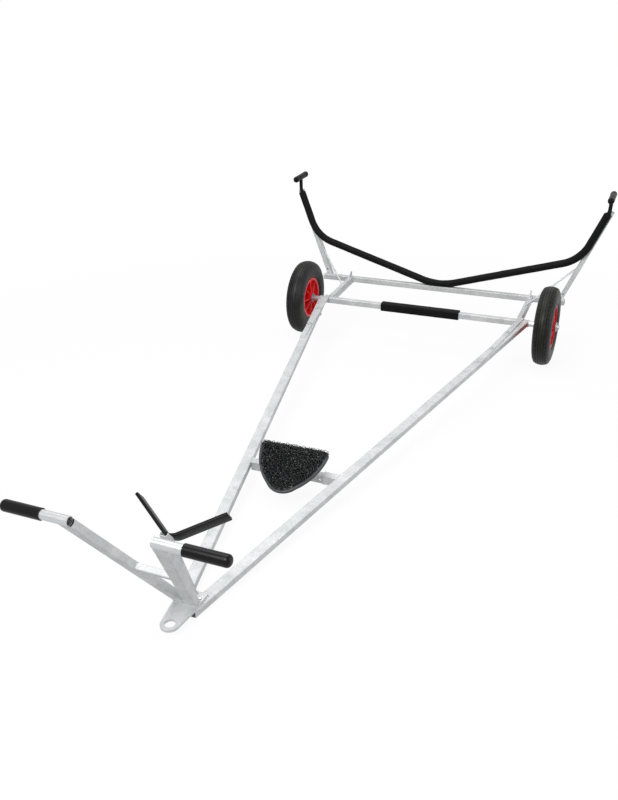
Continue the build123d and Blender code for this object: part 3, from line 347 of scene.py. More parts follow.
def hex_bolt(name, point, shank):
    """A bolt standing on a chassis point, with its nut at the shank's end."""
    corner = BOLT_FLATS / 2 / math.cos(math.pi / 6)
    thread_low = -shank - NUT_TALL - WASHER_THICK * 3
    parts = []
    for corners, radius, low, tall, edge, segments in (
        (6, corner, WASHER_THICK, HEAD_TALL, HEAD_EDGE, 2),
        (6, corner, -shank - WASHER_THICK - NUT_TALL, NUT_TALL, HEAD_EDGE, 2),
        (28, WASHER_RADIUS, 0, WASHER_THICK, WASHER_EDGE, 1),
        (28, WASHER_RADIUS, -shank - WASHER_THICK, WASHER_THICK, WASHER_EDGE, 1),
        (28, THREAD_RADIUS, thread_low, NUT_TALL + WASHER_THICK * 3, WASHER_EDGE, 1),
    ):
        bpy.ops.mesh.primitive_cylinder_add(vertices=corners, radius=radius, depth=tall)
        part = bpy.context.object
        part.location = (0, 0, low + tall / 2)
        bevel = part.modifiers.new("edges", "BEVEL")
        bevel.width = edge
        bevel.segments = segments
        only(part)
        bpy.ops.object.modifier_apply(modifier="edges")
        parts.append(part)
    for part in parts:
        settle(part)
    bolt = joined(parts)
    settle(bolt, chassis @ Matrix.Translation(Vector(point)))
    dress(bolt, name, plate, "frame", smooth=30)


for side, hand in SIDES:
    for row, y in TONGUE_BOLT_ROWS:
        share = (AXLE_HALF - y) / TONGUE_RUN
        x = TONGUE_REAR_X + (TONGUE_FRONT_X - TONGUE_REAR_X) * share
        hex_bolt(f"tongue_bolt_{hand}_{row}", (side * x, y, TONGUE_TOP), TONGUE_SHANK)
    hex_bolt(f"hitch_bolt_{hand}", (side * HITCH_BOLT_X, HITCH_BOLT_Y, plate_top), HITCH_SHANK)

# Wheels
# Pneumatic trolley tyres with a ribbed tread, on rims of red injection-moulded plastic. The
# grooves are moulded 2 mm deep and the shoulder's cuts 1.6 mm; the sidewall has two raised rings.
TREAD_STEPS = 156
MEETING_GAP = 0.00005
CROWN_RADIUS = 0.0640
GROOVES = ((0.0045, 0.0085), (0.0165, 0.0205))
GROOVE_DEPTH, GROOVE_SLOPE = 0.0020, 0.0008
SHOULDER_NEAR, SHOULDER_FAR = 0.0235, 0.0315
CUT_DEPTH, CUT_MARGIN, CUT_EVERY, CUT_OUTSIDE = 0.0016, 0.0001, 3, 0.188
VALVE_X, VALVE_RADIUS = 0.004, 0.070
DUST_PATCH = 0.0455
PORE, PORE_DEPTH = 0.00111, 0.0003
tyre_radius = wheel_joint["pos_m"][2]

# Carbon-black rubber, dull and a little dusty. Its pores are drawn 1 mm wide, coarser than they are
rubber, tree, surface, place = new_material("tyre_rubber", "26272A", roughness=0.42)
surface.inputs["Specular IOR Level"].default_value = 0.3
dust = add_node(
    tree,
    "TexNoise",
    links={"Vector": place, "Scale": 1 / DUST_PATCH, "Detail": 6.0, "Roughness": 0.65},
).outputs["Fac"]
worn = add_node(
    tree, "MapRange", links={"Value": dust, "From Min": 0.35, "From Max": 0.75}
).outputs["Result"]
tree.links.new(blend_colours(tree, worn, "0A0A09", "262625"), surface.inputs["Base Color"])
pores = add_node(
    tree, "TexNoise", links={"Vector": place, "Scale": 1 / PORE, "Detail": 2.0}
).outputs["Fac"]
add_bump(tree, surface, pores, PORE_DEPTH, strength=0.4)


def crown(x):
    """Radius of the tread at a distance from the tyre's middle plane."""
    return tyre_radius - (CROWN_RADIUS - math.sqrt(CROWN_RADIUS**2 - x * x))


def spun(name, outline, centre, steps, closed):
    """A shape turned about an X axis through a centre, from points along and out from it."""
    mesh = bpy.data.meshes.new(name)
    points = [(x, 0, r) for x, r in outline]
    edges = [(i, i + 1) for i in range(len(points) - 1)]
    if closed:
        edges.append((len(points) - 1, 0))
    mesh.from_pydata(points, edges, [])
    piece = bpy.data.objects.new(name, mesh)
    bpy.context.collection.objects.link(piece)
    only(piece)
    bpy.ops.object.mode_set(mode="EDIT")
    bpy.ops.mesh.select_all(action="SELECT")
    bpy.ops.mesh.spin(
        steps=steps, angle=math.tau, center=(0, 0, 0), axis=(1, 0, 0), use_auto_merge=True
    )
    bpy.ops.mesh.select_all(action="SELECT")
    bpy.ops.mesh.remove_doubles(threshold=MEETING_GAP)
    bpy.ops.mesh.normals_make_consistent(inside=False)
    bpy.ops.object.mode_set(mode="OBJECT")
    settle(piece, Matrix.Translation(centre))
    return piece


# Half of the tyre's section, from the crown out and round to the inside: across and out, in metres
half = [(0.0, crown(0.0))]
for near, far in GROOVES:
    half += [(near, crown(near)), (near + GROOVE_SLOPE, crown(near) - GROOVE_DEPTH)]
    half += [(far - GROOVE_SLOPE, crown(far) - GROOVE_DEPTH), (far, crown(far))]
shoulder = [(x, crown(x)) for x in (SHOULDER_NEAR, SHOULDER_FAR)] + [(0.0336, crown(0.0333))]
outer_ring = [(0.0372, 0.1850), (0.0398, 0.1790), (0.0402, 0.1786), (0.0410, 0.1768)]
sidewall = [(0.0423, 0.1710), (0.0438, 0.1630), (0.0446, 0.1550), (0.0448, 0.1490)]
sidewall += [(0.0444, 0.1410), (0.0434, 0.1330)]
inner_ring = [(0.0422, 0.1268), (0.0427, 0.1252), (0.0420, 0.1234)]
bead = [(0.0404, 0.1205), (0.0381, 0.1165), (0.0352, 0.1132), (0.0307, 0.1118)]
bead += [(0.0306, 0.1019), (0.0170, 0.1019), (0.0170, 0.1110)]
inside = [(0.0300, 0.1230), (0.0385, 0.1400), (0.0385, 0.1560), (0.0290, 0.1760), (0.0150, 0.1870)]
half += shoulder + outer_ring + sidewall + inner_ring + bead + inside
outline = half + [(-x, r) for x, r in reversed(half[1:])]

# The valve's stem and cap, from its root outwards: along and out from its middle line, in metres
stem = [(0.0, 0.0), (0.0, 0.0062), (0.004, 0.0058), (0.014, 0.0040), (0.020, 0.0038)]
stem += [(0.0202, 0.0046), (0.0290, 0.0046), (0.0302, 0.0036), (0.0302, 0.0)]

for side, hand in SIDES:
    hub = Vector(next(j for j in frame["joints"] if j["child"] == f"wheel_{hand}")["pos_m"])
    tyre = spun("tyre", outline, hub, steps=TREAD_STEPS, closed=True)
    only(tyre)
    bpy.ops.object.mode_set(mode="EDIT")
    bpy.ops.mesh.select_mode(type="FACE")
    bpy.ops.mesh.select_all(action="DESELECT")
    bpy.ops.object.mode_set(mode="OBJECT")
    for face in tyre.data.polygons:
        spoke = face.center - hub
        reach = math.hypot(spoke.y, spoke.z)
        step = round((math.atan2(spoke.z, spoke.y) / math.tau * TREAD_STEPS) - 0.5)
        on_rib = SHOULDER_NEAR + CUT_MARGIN < abs(spoke.x) < SHOULDER_FAR - CUT_MARGIN
        face.select = on_rib and reach > CUT_OUTSIDE and step % CUT_EVERY == 0
    bpy.ops.object.mode_set(mode="EDIT")
    bpy.ops.mesh.extrude_region_move()
    bpy.ops.transform.shrink_fatten(value=-CUT_DEPTH)
    bpy.ops.object.mode_set(mode="OBJECT")
    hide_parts(f"tyre_{hand}")
    dress(tyre, f"ribbed_tyre_{hand}", rubber, f"wheel_{hand}", smooth=35)

    # The valve, a rubber stem with a small cap, stands out of the rim's outer well
    valve_place = hub + Vector((side * VALVE_X, 0.0, VALVE_RADIUS))
    valve_outline = [(side * x, r) for x, r in stem]
    valve = spun("valve", valve_outline, valve_place, steps=16, closed=False)
    dress(valve, f"valve_{hand}", rubber, f"wheel_{hand}")

# Rims and bushes
# Glass-filled nylon, moulded in red with a slight orange-peel gloss, and chalky in patches. The
# bushes are grey bearing plastic, faintly swirled, with a waxy shine.
PEEL, PEEL_DEPTH = 0.00238, 0.0002
CHALK_PATCH = 0.0333
SWIRL = 0.00625
nylon, tree, surface, place = new_material("moulded_red_nylon", "C8141D", roughness=0.3)
surface.inputs["IOR"].default_value = 1.53
peel = add_node(
    tree, "TexNoise", links={"Vector": place, "Scale": 1 / PEEL, "Detail": 2.0}
).outputs["Fac"]
chalk = add_node(
    tree, "TexNoise", links={"Vector": place, "Scale": 1 / CHALK_PATCH, "Detail": 4.0}
).outputs["Fac"]
tree.links.new(blend_colours(tree, chalk, "E01A24", "F5343C"), surface.inputs["Base Color"])
add_bump(tree, surface, peel, PEEL_DEPTH, strength=0.35)
coat_slot("rim_red", nylon)

acetal, tree, surface, place = new_material("grey_bearing_acetal", "6B6D70", roughness=0.4)
swirl = add_node(
    tree, "TexNoise", links={"Vector": place, "Scale": 1 / SWIRL, "Detail": 3.0}
).outputs["Fac"]
tree.links.new(blend_colours(tree, swirl, "5E6063", "7A7C7F"), surface.inputs["Base Color"])
coat_slot("bush_grey", acetal)

# Split pins
# A bent steel pin through each spindle's end keeps the washer on: a ring at one end and two
# legs, spread apart, at the other.
PIN_X = 0.71750
PIN_WIRE, PIN_RING, PIN_RING_Z = 0.0014, 0.0052, 0.0175
LEG_LENGTH, LEG_MID_Z, LEG_LEAN, LEG_SPREAD = 0.034, -0.004, 0.16, 0.006
for side, hand in SIDES:
    bpy.ops.mesh.primitive_torus_add(
        major_segments=24, minor_segments=8, major_radius=PIN_RING, minor_radius=PIN_WIRE
    )
    ring = bpy.context.object
    ring.rotation_euler = (math.pi / 2, 0, 0)
    ring.location = (0, 0, PIN_RING_Z)
    parts = [ring]
    for lean in (-LEG_LEAN, LEG_LEAN):
        bpy.ops.mesh.primitive_cylinder_add(vertices=10, radius=PIN_WIRE, depth=LEG_LENGTH)
        leg = bpy.context.object
        leg.location = (math.sin(lean) * LEG_SPREAD, 0, LEG_MID_Z)
        leg.rotation_euler = (0, lean, 0)
        parts.append(leg)
    for part in parts:
        settle(part)
    pin = joined(parts)
    settle(pin, chassis @ Matrix.Translation((side * PIN_X, 0, 0)))
    dress(pin, f"split_pin_{hand}", plate, "frame")

# Cradle sleeve
# Closed-cell pipe foam, slit along one side and pushed on. A sheet is wrapped round the tube
# until its edges meet at the slit; it wrinkles on the inside of bends and flattens on steel.
CELL, CELL_DEPTH = 0.00143, 0.0004
SCUFF_PATCH = 0.0286

# Dull and dark, scuffed paler in patches. Its cells are drawn 1.4 mm wide, coarser than they are
foam, tree, surface, place = new_material("closed_cell_foam", "17181A", roughness=0.6)
surface.inputs["Specular IOR Level"].default_value = 0.13
cells = add_node(
    tree, "TexVoronoi", {"feature": "F1"}, {"Vector": place, "Scale": 1 / CELL}
).outputs["Distance"]
scuff = add_node(
    tree,
    "TexNoise",
    links={"Vector": place, "Scale": 1 / SCUFF_PATCH, "Detail": 6.0, "Roughness": 0.7},
).outputs["Fac"]
faded = add_node(
    tree, "MapRange", links={"Value": scuff, "From Min": 0.4, "From Max": 0.75}
).outputs["Result"]
tree.links.new(blend_colours(tree, faded, "070708", "171719"), surface.inputs["Base Color"])
add_bump(tree, surface, cells, CELL_DEPTH, strength=0.5)

# The cradle's centre line lies in a plane that leans back, and is laid out across and up in it:
# a bend at the bottom, a straight leg, a side bend and a straight arm along the upright
CRADLE_LEAN = math.radians(9.0)
LEG_SLOPE = math.radians(16.2)
FOAM_RADIUS, TUBE_RADIUS, TUBE_GAP = 0.021, 0.0125, 0.0002
BOTTOM_BEND, SIDE_BEND = 0.330, 0.200
ARM_FOOT_X, ARM_TOP, SLEEVE_SHORT = 0.662, 0.472, 0.006
tube_offset = (TUBE_RADIUS + TUBE_GAP) / math.cos(CRADLE_LEAN)
rake = UPRIGHT_RAKE * math.cos(CRADLE_LEAN)
arm_heading = math.atan2(1, rake)
corner_line = tube_offset - BOTTOM_BEND * (1 / math.cos(LEG_SLOPE) - 1)
corner_x = (ARM_FOOT_X + rake * corner_line) / (1 - rake * math.tan(LEG_SLOPE))
corner_rise = corner_line + corner_x * math.tan(LEG_SLOPE)
tangent = SIDE_BEND * math.tan((arm_heading - LEG_SLOPE) / 2)
bottom_arc = BOTTOM_BEND * LEG_SLOPE
leg_run = (corner_x - BOTTOM_BEND * math.sin(LEG_SLOPE)) / math.cos(LEG_SLOPE) - tangent
side_arc = SIDE_BEND * (arm_heading - LEG_SLOPE)
arm_top_rise = (ARM_TOP - CROSSBAR_TOP) / math.cos(CRADLE_LEAN)
arm_run = (arm_top_rise - corner_rise) / math.sin(arm_heading) - tangent - SLEEVE_SHORT
half_length = bottom_arc + leg_run + side_arc + arm_run


def cradle_line(s):
    """Across, rise and heading of the cradle's centre line at a distance from its middle."""
    if s < bottom_arc:
        turned = s / BOTTOM_BEND
        rise = tube_offset + BOTTOM_BEND * (1 - math.cos(turned))
        return BOTTOM_BEND * math.sin(turned), rise, turned
    x = BOTTOM_BEND * math.sin(LEG_SLOPE)
    rise = tube_offset + BOTTOM_BEND * (1 - math.cos(LEG_SLOPE))
    s -= bottom_arc
    if s < leg_run:
        return x + s * math.cos(LEG_SLOPE), rise + s * math.sin(LEG_SLOPE), LEG_SLOPE
    x += leg_run * math.cos(LEG_SLOPE)
    rise += leg_run * math.sin(LEG_SLOPE)
    s -= leg_run
    heading = min(LEG_SLOPE + s / SIDE_BEND, arm_heading)
    x += SIDE_BEND * (math.sin(heading) - math.sin(LEG_SLOPE))
    rise -= SIDE_BEND * (math.cos(heading) - math.cos(LEG_SLOPE))
    s = max(s - side_arc, 0.0)
    return x + s * math.cos(arm_heading), rise + s * math.sin(arm_heading), heading


SLEEVE_AROUND, SLEEVE_ALONG = 32, 420
SLIT_HALF, SLIT_DIP, SLIT_BREADTH = 0.008, 0.0011, 0.05
SKIN_INSET, LUMPINESS, LUMPS_ALONG, LUMPS_AROUND = 0.0009, 0.0007, 22, 1.4
WRINKLE_HEIGHT, WRINKLE_WAVE, WRINKLE_WANDER, WRINKLE_DRIFT = 0.0007, 520, 2.5, 0.6
END_LENGTH, END_ROUNDING = 0.004, 0.0016
WALL_EASE = 0.0014
STEEL_FACE, STEEL_HALF, STEEL_LOW = 0.0121, 0.0136, 0.15
CROSSBAR_GAP, CROSSBAR_EDGE = 0.0004, 0.001
wrinkle_from, wrinkle_to = LEG_SLOPE + 0.05, arm_heading - 0.02
bottom_wrinkle_to = LEG_SLOPE - 0.03
up_lean = Vector((0, math.sin(CRADLE_LEAN), math.cos(CRADLE_LEAN)))
back_lean = Vector((0, math.cos(CRADLE_LEAN), -math.sin(CRADLE_LEAN)))
cradle_origin = Vector((0, CROSSBAR_BACK - tube_offset, CROSSBAR_TOP))


def sleeve_point(turn, along):
    """A chassis point of the cradle's foam, at an angle round it and a distance along it."""
    side = -1 if along < 0 else 1
    x, rise, heading = cradle_line(abs(along))
    bent = 1.0 if wrinkle_from < heading < wrinkle_to else 0.0
    bent = max(bent, 0.5 if heading < bottom_wrinkle_to else 0.0)
    inner = max(0.0, -math.cos(turn))
    seed = Vector((along * LUMPS_ALONG, math.cos(turn) * LUMPS_AROUND, math.sin(turn) * LUMPS_AROUND))
    radius = FOAM_RADIUS - SKIN_INSET + LUMPINESS * noise.noise(seed)
    wave = along * WRINKLE_WAVE + WRINKLE_WANDER * noise.noise(seed * WRINKLE_DRIFT)
    radius += bent * inner * WRINKLE_HEIGHT * math.sin(wave)
    radius -= SLIT_DIP * math.exp(-((math.sin(turn / 2) / SLIT_BREADTH) ** 2))
    end_round = max(0.0, 1 - (half_length - abs(along)) / END_LENGTH)
    radius -= END_ROUNDING * end_round**2
    out = Vector((side * math.sin(heading), -math.cos(heading), 0))
    across = side * x + out.x * radius * math.cos(turn)
    up = rise + out.y * radius * math.cos(turn)
    back = radius * math.sin(turn)
    offset = (side * across - UPRIGHT_X - rake * up) * math.sin(arm_heading)
    if back > STEEL_FACE and abs(offset) < STEEL_HALF and up > STEEL_LOW:
        back = STEEL_FACE
    point = cradle_origin + Vector((across, 0, 0)) + up_lean * up + back_lean * back
    if point.z < CROSSBAR_TOP + CROSSBAR_GAP and point.y < CROSSBAR_BACK + CROSSBAR_EDGE:
        point.z = CROSSBAR_TOP + CROSSBAR_GAP
    return point


def give_wall(sheet, core, thickness):
    """Turns a wrapped sheet's faces away from a point in its core and thickens it inwards."""
    only(sheet)
    bpy.ops.object.mode_set(mode="EDIT")
    bpy.ops.mesh.select_all(action="SELECT")
    bpy.ops.mesh.normals_make_consistent(inside=False)
    bpy.ops.object.mode_set(mode="OBJECT")
    middle = sheet.data.polygons[len(sheet.data.polygons) // 2]
    if middle.normal.dot(middle.center - core) < 0:
        sheet.data.flip_normals()
    wall = sheet.modifiers.new("wall", "SOLIDIFY")
    wall.thickness = thickness
    wall.offset = -1
    bpy.ops.object.modifier_apply(modifier="wall")


bpy.ops.mesh.primitive_grid_add(x_subdivisions=SLEEVE_AROUND, y_subdivisions=SLEEVE_ALONG, size=1)
sleeve = bpy.context.object
for vertex in sleeve.data.vertices:
    turn = SLIT_HALF + (vertex.co.x + 0.5) * (math.tau - 2 * SLIT_HALF)
    vertex.co = chassis @ sleeve_point(turn, vertex.co.y * 2 * half_length)
sleeve_core = chassis @ (cradle_origin + up_lean * tube_offset)
give_wall(sleeve, sleeve_core, FOAM_RADIUS - TUBE_RADIUS - WALL_EASE)
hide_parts("cradle_foam")
dress(sleeve, "cradle_foam_sleeve", foam, "frame", smooth=50)

# Axle sleeve
# The same foam in a square section on the axle tube, slit along its rear and a little crowned
# between its rounded corners, with ends cut square by hand.
PAD_AROUND, PAD_ALONG = 48, 110
PAD_HALF_LENGTH, PAD_HALF_SIDE, PAD_WALL = 0.213, 0.0221, 0.0062
PAD_SLIT_HALF, PAD_SLIT_DIP, PAD_SLIT_BREADTH = 0.012, 0.0009, 0.04
CORNER_PULL, CORNER_FROM, CROWNING = 0.075, 0.72, 0.012
PAD_LUMPINESS, PAD_LUMPS_ALONG, PAD_LUMPS_AROUND = 0.0004, 26, 1.3
CUT_UNEVENNESS, CUT_WAVE_AROUND, CUT_WAVE_ALONG = 0.0008, 2, 4
bpy.ops.mesh.primitive_grid_add(x_subdivisions=PAD_AROUND, y_subdivisions=PAD_ALONG, size=1)
axle_sleeve = bpy.context.object
for vertex in axle_sleeve.data.vertices:
    turn = PAD_SLIT_HALF + (vertex.co.x + 0.5) * (math.tau - 2 * PAD_SLIT_HALF)
    along = vertex.co.y * 2 * PAD_HALF_LENGTH
    square = 1 / max(abs(math.cos(turn)), abs(math.sin(turn)))
    flat_y, flat_z = math.cos(turn) * square, math.sin(turn) * square
    corner = min(abs(flat_y), abs(flat_z))
    pull = 1 - CORNER_PULL * max(0.0, (corner - CORNER_FROM) / (1 - CORNER_FROM)) ** 2
    seed = Vector((along * PAD_LUMPS_ALONG, flat_y * PAD_LUMPS_AROUND, flat_z * PAD_LUMPS_AROUND))
    reach = PAD_HALF_SIDE * pull * (1 - CROWNING * corner**2) + PAD_LUMPINESS * noise.noise(seed)
    reach -= PAD_SLIT_DIP * math.exp(-((math.sin(turn / 2) / PAD_SLIT_BREADTH) ** 2))
    wave = Vector((flat_y * CUT_WAVE_AROUND, flat_z * CUT_WAVE_AROUND, along * CUT_WAVE_ALONG))
    cut = CUT_UNEVENNESS * noise.noise(wave) * abs(vertex.co.y) * 2
    vertex.co = chassis @ Vector((along + cut, flat_y * reach, flat_z * reach))
give_wall(axle_sleeve, axle_centre, PAD_WALL)
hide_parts("axle_pad")
dress(axle_sleeve, "axle_foam_sleeve", foam, "frame", smooth=50)

# Gunwale rests
# Black rubber rolls moulded over the posts' cross bars, with rounded ends and a narrow groove
# inside each. The posts and the cradle tube's ends are dipped in the same rubber.
BLOOM_PATCH = 0.0167
STIPPLE, STIPPLE_DEPTH = 0.000833, 0.0002

# Deep black with a faint bloom. Its stipple is drawn 0.8 mm wide, coarser than it is
moulded, tree, surface, place = new_material("moulded_black_rubber", "161718", roughness=0.36)
surface.inputs["Specular IOR Level"].default_value = 0.15
bloom = add_node(
    tree, "TexNoise", links={"Vector": place, "Scale": 1 / BLOOM_PATCH, "Detail": 5.0}
).outputs["Fac"]
tree.links.new(blend_colours(tree, bloom, "050506", "121314"), surface.inputs["Base Color"])
stipple = add_node(
    tree, "TexNoise", links={"Vector": place, "Scale": 1 / STIPPLE, "Detail": 2.0}
).outputs["Fac"]
add_bump(tree, surface, stipple, STIPPLE_DEPTH, strength=0.5)

# Half of the roll's outline, from its end to its middle: along and out, in metres
ROLL_RADIUS, ROLL_HALF, DOME, DOME_STEPS = 0.017, 0.0820, 0.013, 6
roll = [(ROLL_HALF, 0.0)]
for i in range(DOME_STEPS + 1):
    turned = math.pi / 2 * i / DOME_STEPS
    along = ROLL_HALF - DOME + DOME * math.cos(turned)
    roll.append((along, ROLL_RADIUS - DOME + DOME * math.sin(turned)))
roll += [(0.0660, 0.0170), (0.0475, 0.0170), (0.0462, 0.0168), (0.0458, 0.0157), (0.0440, 0.0157)]
roll += [(0.0432, 0.0163), (0.0300, 0.0165), (0.0, 0.0164)]
roll += [(-along, radius) for along, radius in reversed(roll[:-1])]
for _, hand in SIDES:
    low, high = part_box(f"gunwale_pad_{hand}")
    pad = spun("pad", roll, Vector((0, 0, 0)), steps=48, closed=False)
    quarter = Matrix.Rotation(math.pi / 2, 4, "Z")
    tilt = Matrix.Rotation(pitch, 4, "X")
    settle(pad, Matrix.Translation((low + high) / 2) @ tilt @ quarter)
    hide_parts(f"gunwale_pad_{hand}")
    dress(pad, f"gunwale_roll_{hand}", moulded, "frame", smooth=60)
    coat(frame["nodes"][f"gunwale_post_{hand}"], moulded)
coat(frame["nodes"]["cradle_tube"], moulded)

# Handle grips
# Soft black vinyl, dip moulded, round at the end, with a low gloss. Its fine lengthwise draw
# lines are drawn 1.4 mm apart, coarser than they are, so that they show.
LINE_LENGTH, LINE_WIDTH, LINE_DEPTH = 0.0167, 0.00143, 0.0002
vinyl, tree, surface, place = new_material("dipped_black_vinyl", "0B0B0C", roughness=0.25)
surface.inputs["Specular IOR Level"].default_value = 0.24
lines = (1 / LINE_LENGTH, 1 / LINE_WIDTH, 1 / LINE_WIDTH)
stretched = add_node(tree, "Mapping", links={"Vector": place, "Scale": lines})
draw_lines = add_node(
    tree, "TexNoise", links={"Vector": stretched.outputs["Vector"], "Scale": 1.0, "Detail": 3.0}
).outputs["Fac"]
tree.links.new(blend_colours(tree, draw_lines, "030303", "0C0C0D"), surface.inputs["Base Color"])
add_bump(tree, surface, draw_lines, LINE_DEPTH, strength=0.5)
coat_slot("grip_black", vinyl)

# Bow rest
# A bent steel strap dipped in black rubber, so its edges are round and catch the light.
STRAP_EDGE = 0.0024
CORNER_GAP = 0.00002
FLAT_ANGLE, SHARP_ANGLE = math.radians(1.5), math.radians(35)


def free_copy(node):
    """A copy of a CAD node as a piece of its own."""
    copy = node.copy()
    copy.data = node.data.copy()
    for key in list(copy.keys()):
        del copy[key]
    copy.parent = None
    bpy.context.collection.objects.link(copy)
    return copy


def merge_points(piece):
    """Joins a copied node's loose triangles at their corners and leaves them all selected."""
    only(piece)
    bpy.ops.object.mode_set(mode="EDIT")
    bpy.ops.mesh.select_all(action="SELECT")
    bpy.ops.mesh.remove_doubles(threshold=CORNER_GAP)
    bpy.ops.object.mode_set(mode="OBJECT")


def softened(node_name, name, material, width):
    """A copy of a rigid CAD piece with its sharp edges rounded over, in that piece's place."""
    copy = free_copy(frame["nodes"][node_name])
    merge_points(copy)
    bpy.ops.object.mode_set(mode="EDIT")
    bpy.ops.mesh.dissolve_limited(angle_limit=FLAT_ANGLE)
    bpy.ops.object.mode_set(mode="OBJECT")
    bevel = copy.modifiers.new("edges", "BEVEL")
    bevel.width = width
    bevel.segments = 3
    bevel.limit_method = "ANGLE"
    bevel.angle_limit = SHARP_ANGLE
    bpy.ops.object.modifier_apply(modifier="edges")
    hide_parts(node_name)
    dress(copy, name, material, "frame", smooth=35)


softened("bow_rest", "bow_rest_coated", moulded, STRAP_EDGE)

# Keel board
# A smooth grey rubber moulding with a rolled rim, made in one piece. The rubber is half matt and
# slightly cloudy, with a stipple from its mould that is drawn 1 mm wide, coarser than it is.
BOARD_EDGE = 0.0028
BOARD_BLOOM_PATCH = 0.0222
BOARD_STIPPLE, BOARD_STIPPLE_DEPTH = 0.001, 0.0002
moulding, tree, surface, place = new_material("grey_rubber_moulding", "3C3E40", roughness=0.5)
bloom = add_node(
    tree, "TexNoise", links={"Vector": place, "Scale": 1 / BOARD_BLOOM_PATCH, "Detail": 5.0}
).outputs["Fac"]
tree.links.new(blend_colours(tree, bloom, "303234", "4A4C4E"), surface.inputs["Base Color"])
stipple = add_node(
    tree, "TexNoise", links={"Vector": place, "Scale": 1 / BOARD_STIPPLE, "Detail": 2.0}
).outputs["Fac"]
add_bump(tree, surface, stipple, BOARD_STIPPLE_DEPTH, strength=0.4)
softened("keel_board", "keel_board_moulding", moulding, BOARD_EDGE)

# Keel mat
# A mat of looped black vinyl strands that lies on the board and over its rear rim. The loops
# stand close together at every angle, and are drawn 1.6 mm thick, coarser than they are, to show.
# Painted glints: the loops are painted paler in patches of this size, standing in for light caught on them
PAINTED_GLINT_PATCH = 0.00526
FINE_GRAIN, FINE_DEPTH = 0.0004, 0.0001

# Glossy vinyl with painted glints: the loops are painted paler in patches, as if the light caught them, with a
# grain that shows only close up
strand, tree, surface, place = new_material("looped_vinyl_strand", "0A0A0B", roughness=0.22)
surface.inputs["Specular IOR Level"].default_value = 0.6
painted_glint_noise = add_node(
    tree, "TexNoise", links={"Vector": place, "Scale": 1 / PAINTED_GLINT_PATCH, "Detail": 2.0}
).outputs["Fac"]
painted_glint_share = add_node(
    tree, "MapRange", links={"Value": painted_glint_noise, "From Min": 0.5, "From Max": 0.7}
).outputs["Result"]
# The strands' near-black, painted paler towards grey where the painted glints fall
tree.links.new(blend_colours(tree, painted_glint_share, "030304", "404246"), surface.inputs["Base Color"])
fine = add_node(
    tree, "TexNoise", links={"Vector": place, "Scale": 1 / FINE_GRAIN, "Detail": 1.0}
).outputs["Fac"]
add_bump(tree, surface, fine, FINE_DEPTH, strength=0.5)

STRAND_RADIUS, LOOP_RADIUS, LOOP_PITCH, LOOP_SHIFT = 0.0008, 0.0062, 0.0046, 0.45
SMALLEST_LOOP, LARGEST_LOOP = 0.75, 1.2
DEEPEST_LOOP, HIGHEST_LOOP = -0.0035, 0.0010
LARGEST_NOD = 0.7
RIM_LIFT = 0.003
CELLS_EACH_WAY = 44
CAST_HEIGHT, FACES_UP, LEVEL_ENOUGH = 0.1, 0.5, 0.9
BACKING_SUNK = 0.62


def cast_tree(node):
    """A CAD node's faces, ready to be hit by rays."""
    points = [v.co.copy() for v in node.data.vertices]
    return BVHTree.FromPolygons(points, [tuple(p.vertices) for p in node.data.polygons])


mat_node = frame["nodes"]["keel_mat"]
mat_tree = cast_tree(mat_node)
board_tree = cast_tree(frame["nodes"]["keel_board"])
top_face = max(mat_node.data.polygons, key=lambda p: p.area * (p.normal.z > FACES_UP))
mat_up = top_face.normal.copy()
mat_along = mat_up.cross(ACROSS)
low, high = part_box("keel_mat")
mat_centre = (low + high) / 2
mat_reach = max((v.co - mat_centre).dot(mat_along) for v in mat_node.data.vertices)
bpy.ops.mesh.primitive_torus_add(
    major_segments=11, minor_segments=4, major_radius=LOOP_RADIUS, minor_radius=STRAND_RADIUS
)
loop = bpy.context.object
settle(loop, Matrix.Rotation(math.pi / 2, 4, "X"))
loop_points = [v.co.copy() for v in loop.data.vertices]
loop_faces = [tuple(p.vertices) for p in loop.data.polygons]
bpy.data.objects.remove(loop)
upright = mat_up.to_track_quat("Z", "Y").to_matrix().to_4x4()
hand_laid = random.Random(11)
strand_points, strand_faces = [], []
for row in range(-CELLS_EACH_WAY, CELLS_EACH_WAY):
    for column in range(-CELLS_EACH_WAY, CELLS_EACH_WAY):
        across = column + hand_laid.uniform(-LOOP_SHIFT, LOOP_SHIFT)
        along = row + hand_laid.uniform(-LOOP_SHIFT, LOOP_SHIFT)
        spot = mat_centre + ACROSS * across * LOOP_PITCH + mat_along * along * LOOP_PITCH
        start = spot + mat_up * CAST_HEIGHT
        hit, normal = mat_tree.ray_cast(start, -mat_up)[:2]
        if hit is None and (spot - mat_centre).dot(mat_along) > mat_reach - LOOP_PITCH:
            hit, normal = board_tree.ray_cast(start, -mat_up)[:2]
            hit = hit + mat_up * RIM_LIFT if hit is not None else None
        turn = Matrix.Rotation(hand_laid.uniform(0, math.tau), 4, mat_up)
        nod = Matrix.Rotation(hand_laid.uniform(-LARGEST_NOD, LARGEST_NOD), 4, ACROSS)
        if hit is None or normal.dot(mat_up) < LEVEL_ENOUGH:
            continue
        size = hand_laid.uniform(SMALLEST_LOOP, LARGEST_LOOP)
        sink = hand_laid.uniform(DEEPEST_LOOP, HIGHEST_LOOP)
        move = Matrix.Translation(hit + mat_up * sink) @ turn @ nod @ upright
        move = move @ Matrix.Diagonal((size, size, size, 1))
        first = len(strand_points)
        strand_points += [move @ p for p in loop_points]
        strand_faces += [tuple(first + i for i in face) for face in loop_faces]
mesh = bpy.data.meshes.new("strands")
mesh.from_pydata(strand_points, [], strand_faces)
strands = bpy.data.objects.new("strands", mesh)
bpy.context.collection.objects.link(strands)
dress(strands, "keel_mat_loops", strand, "frame", smooth=60)

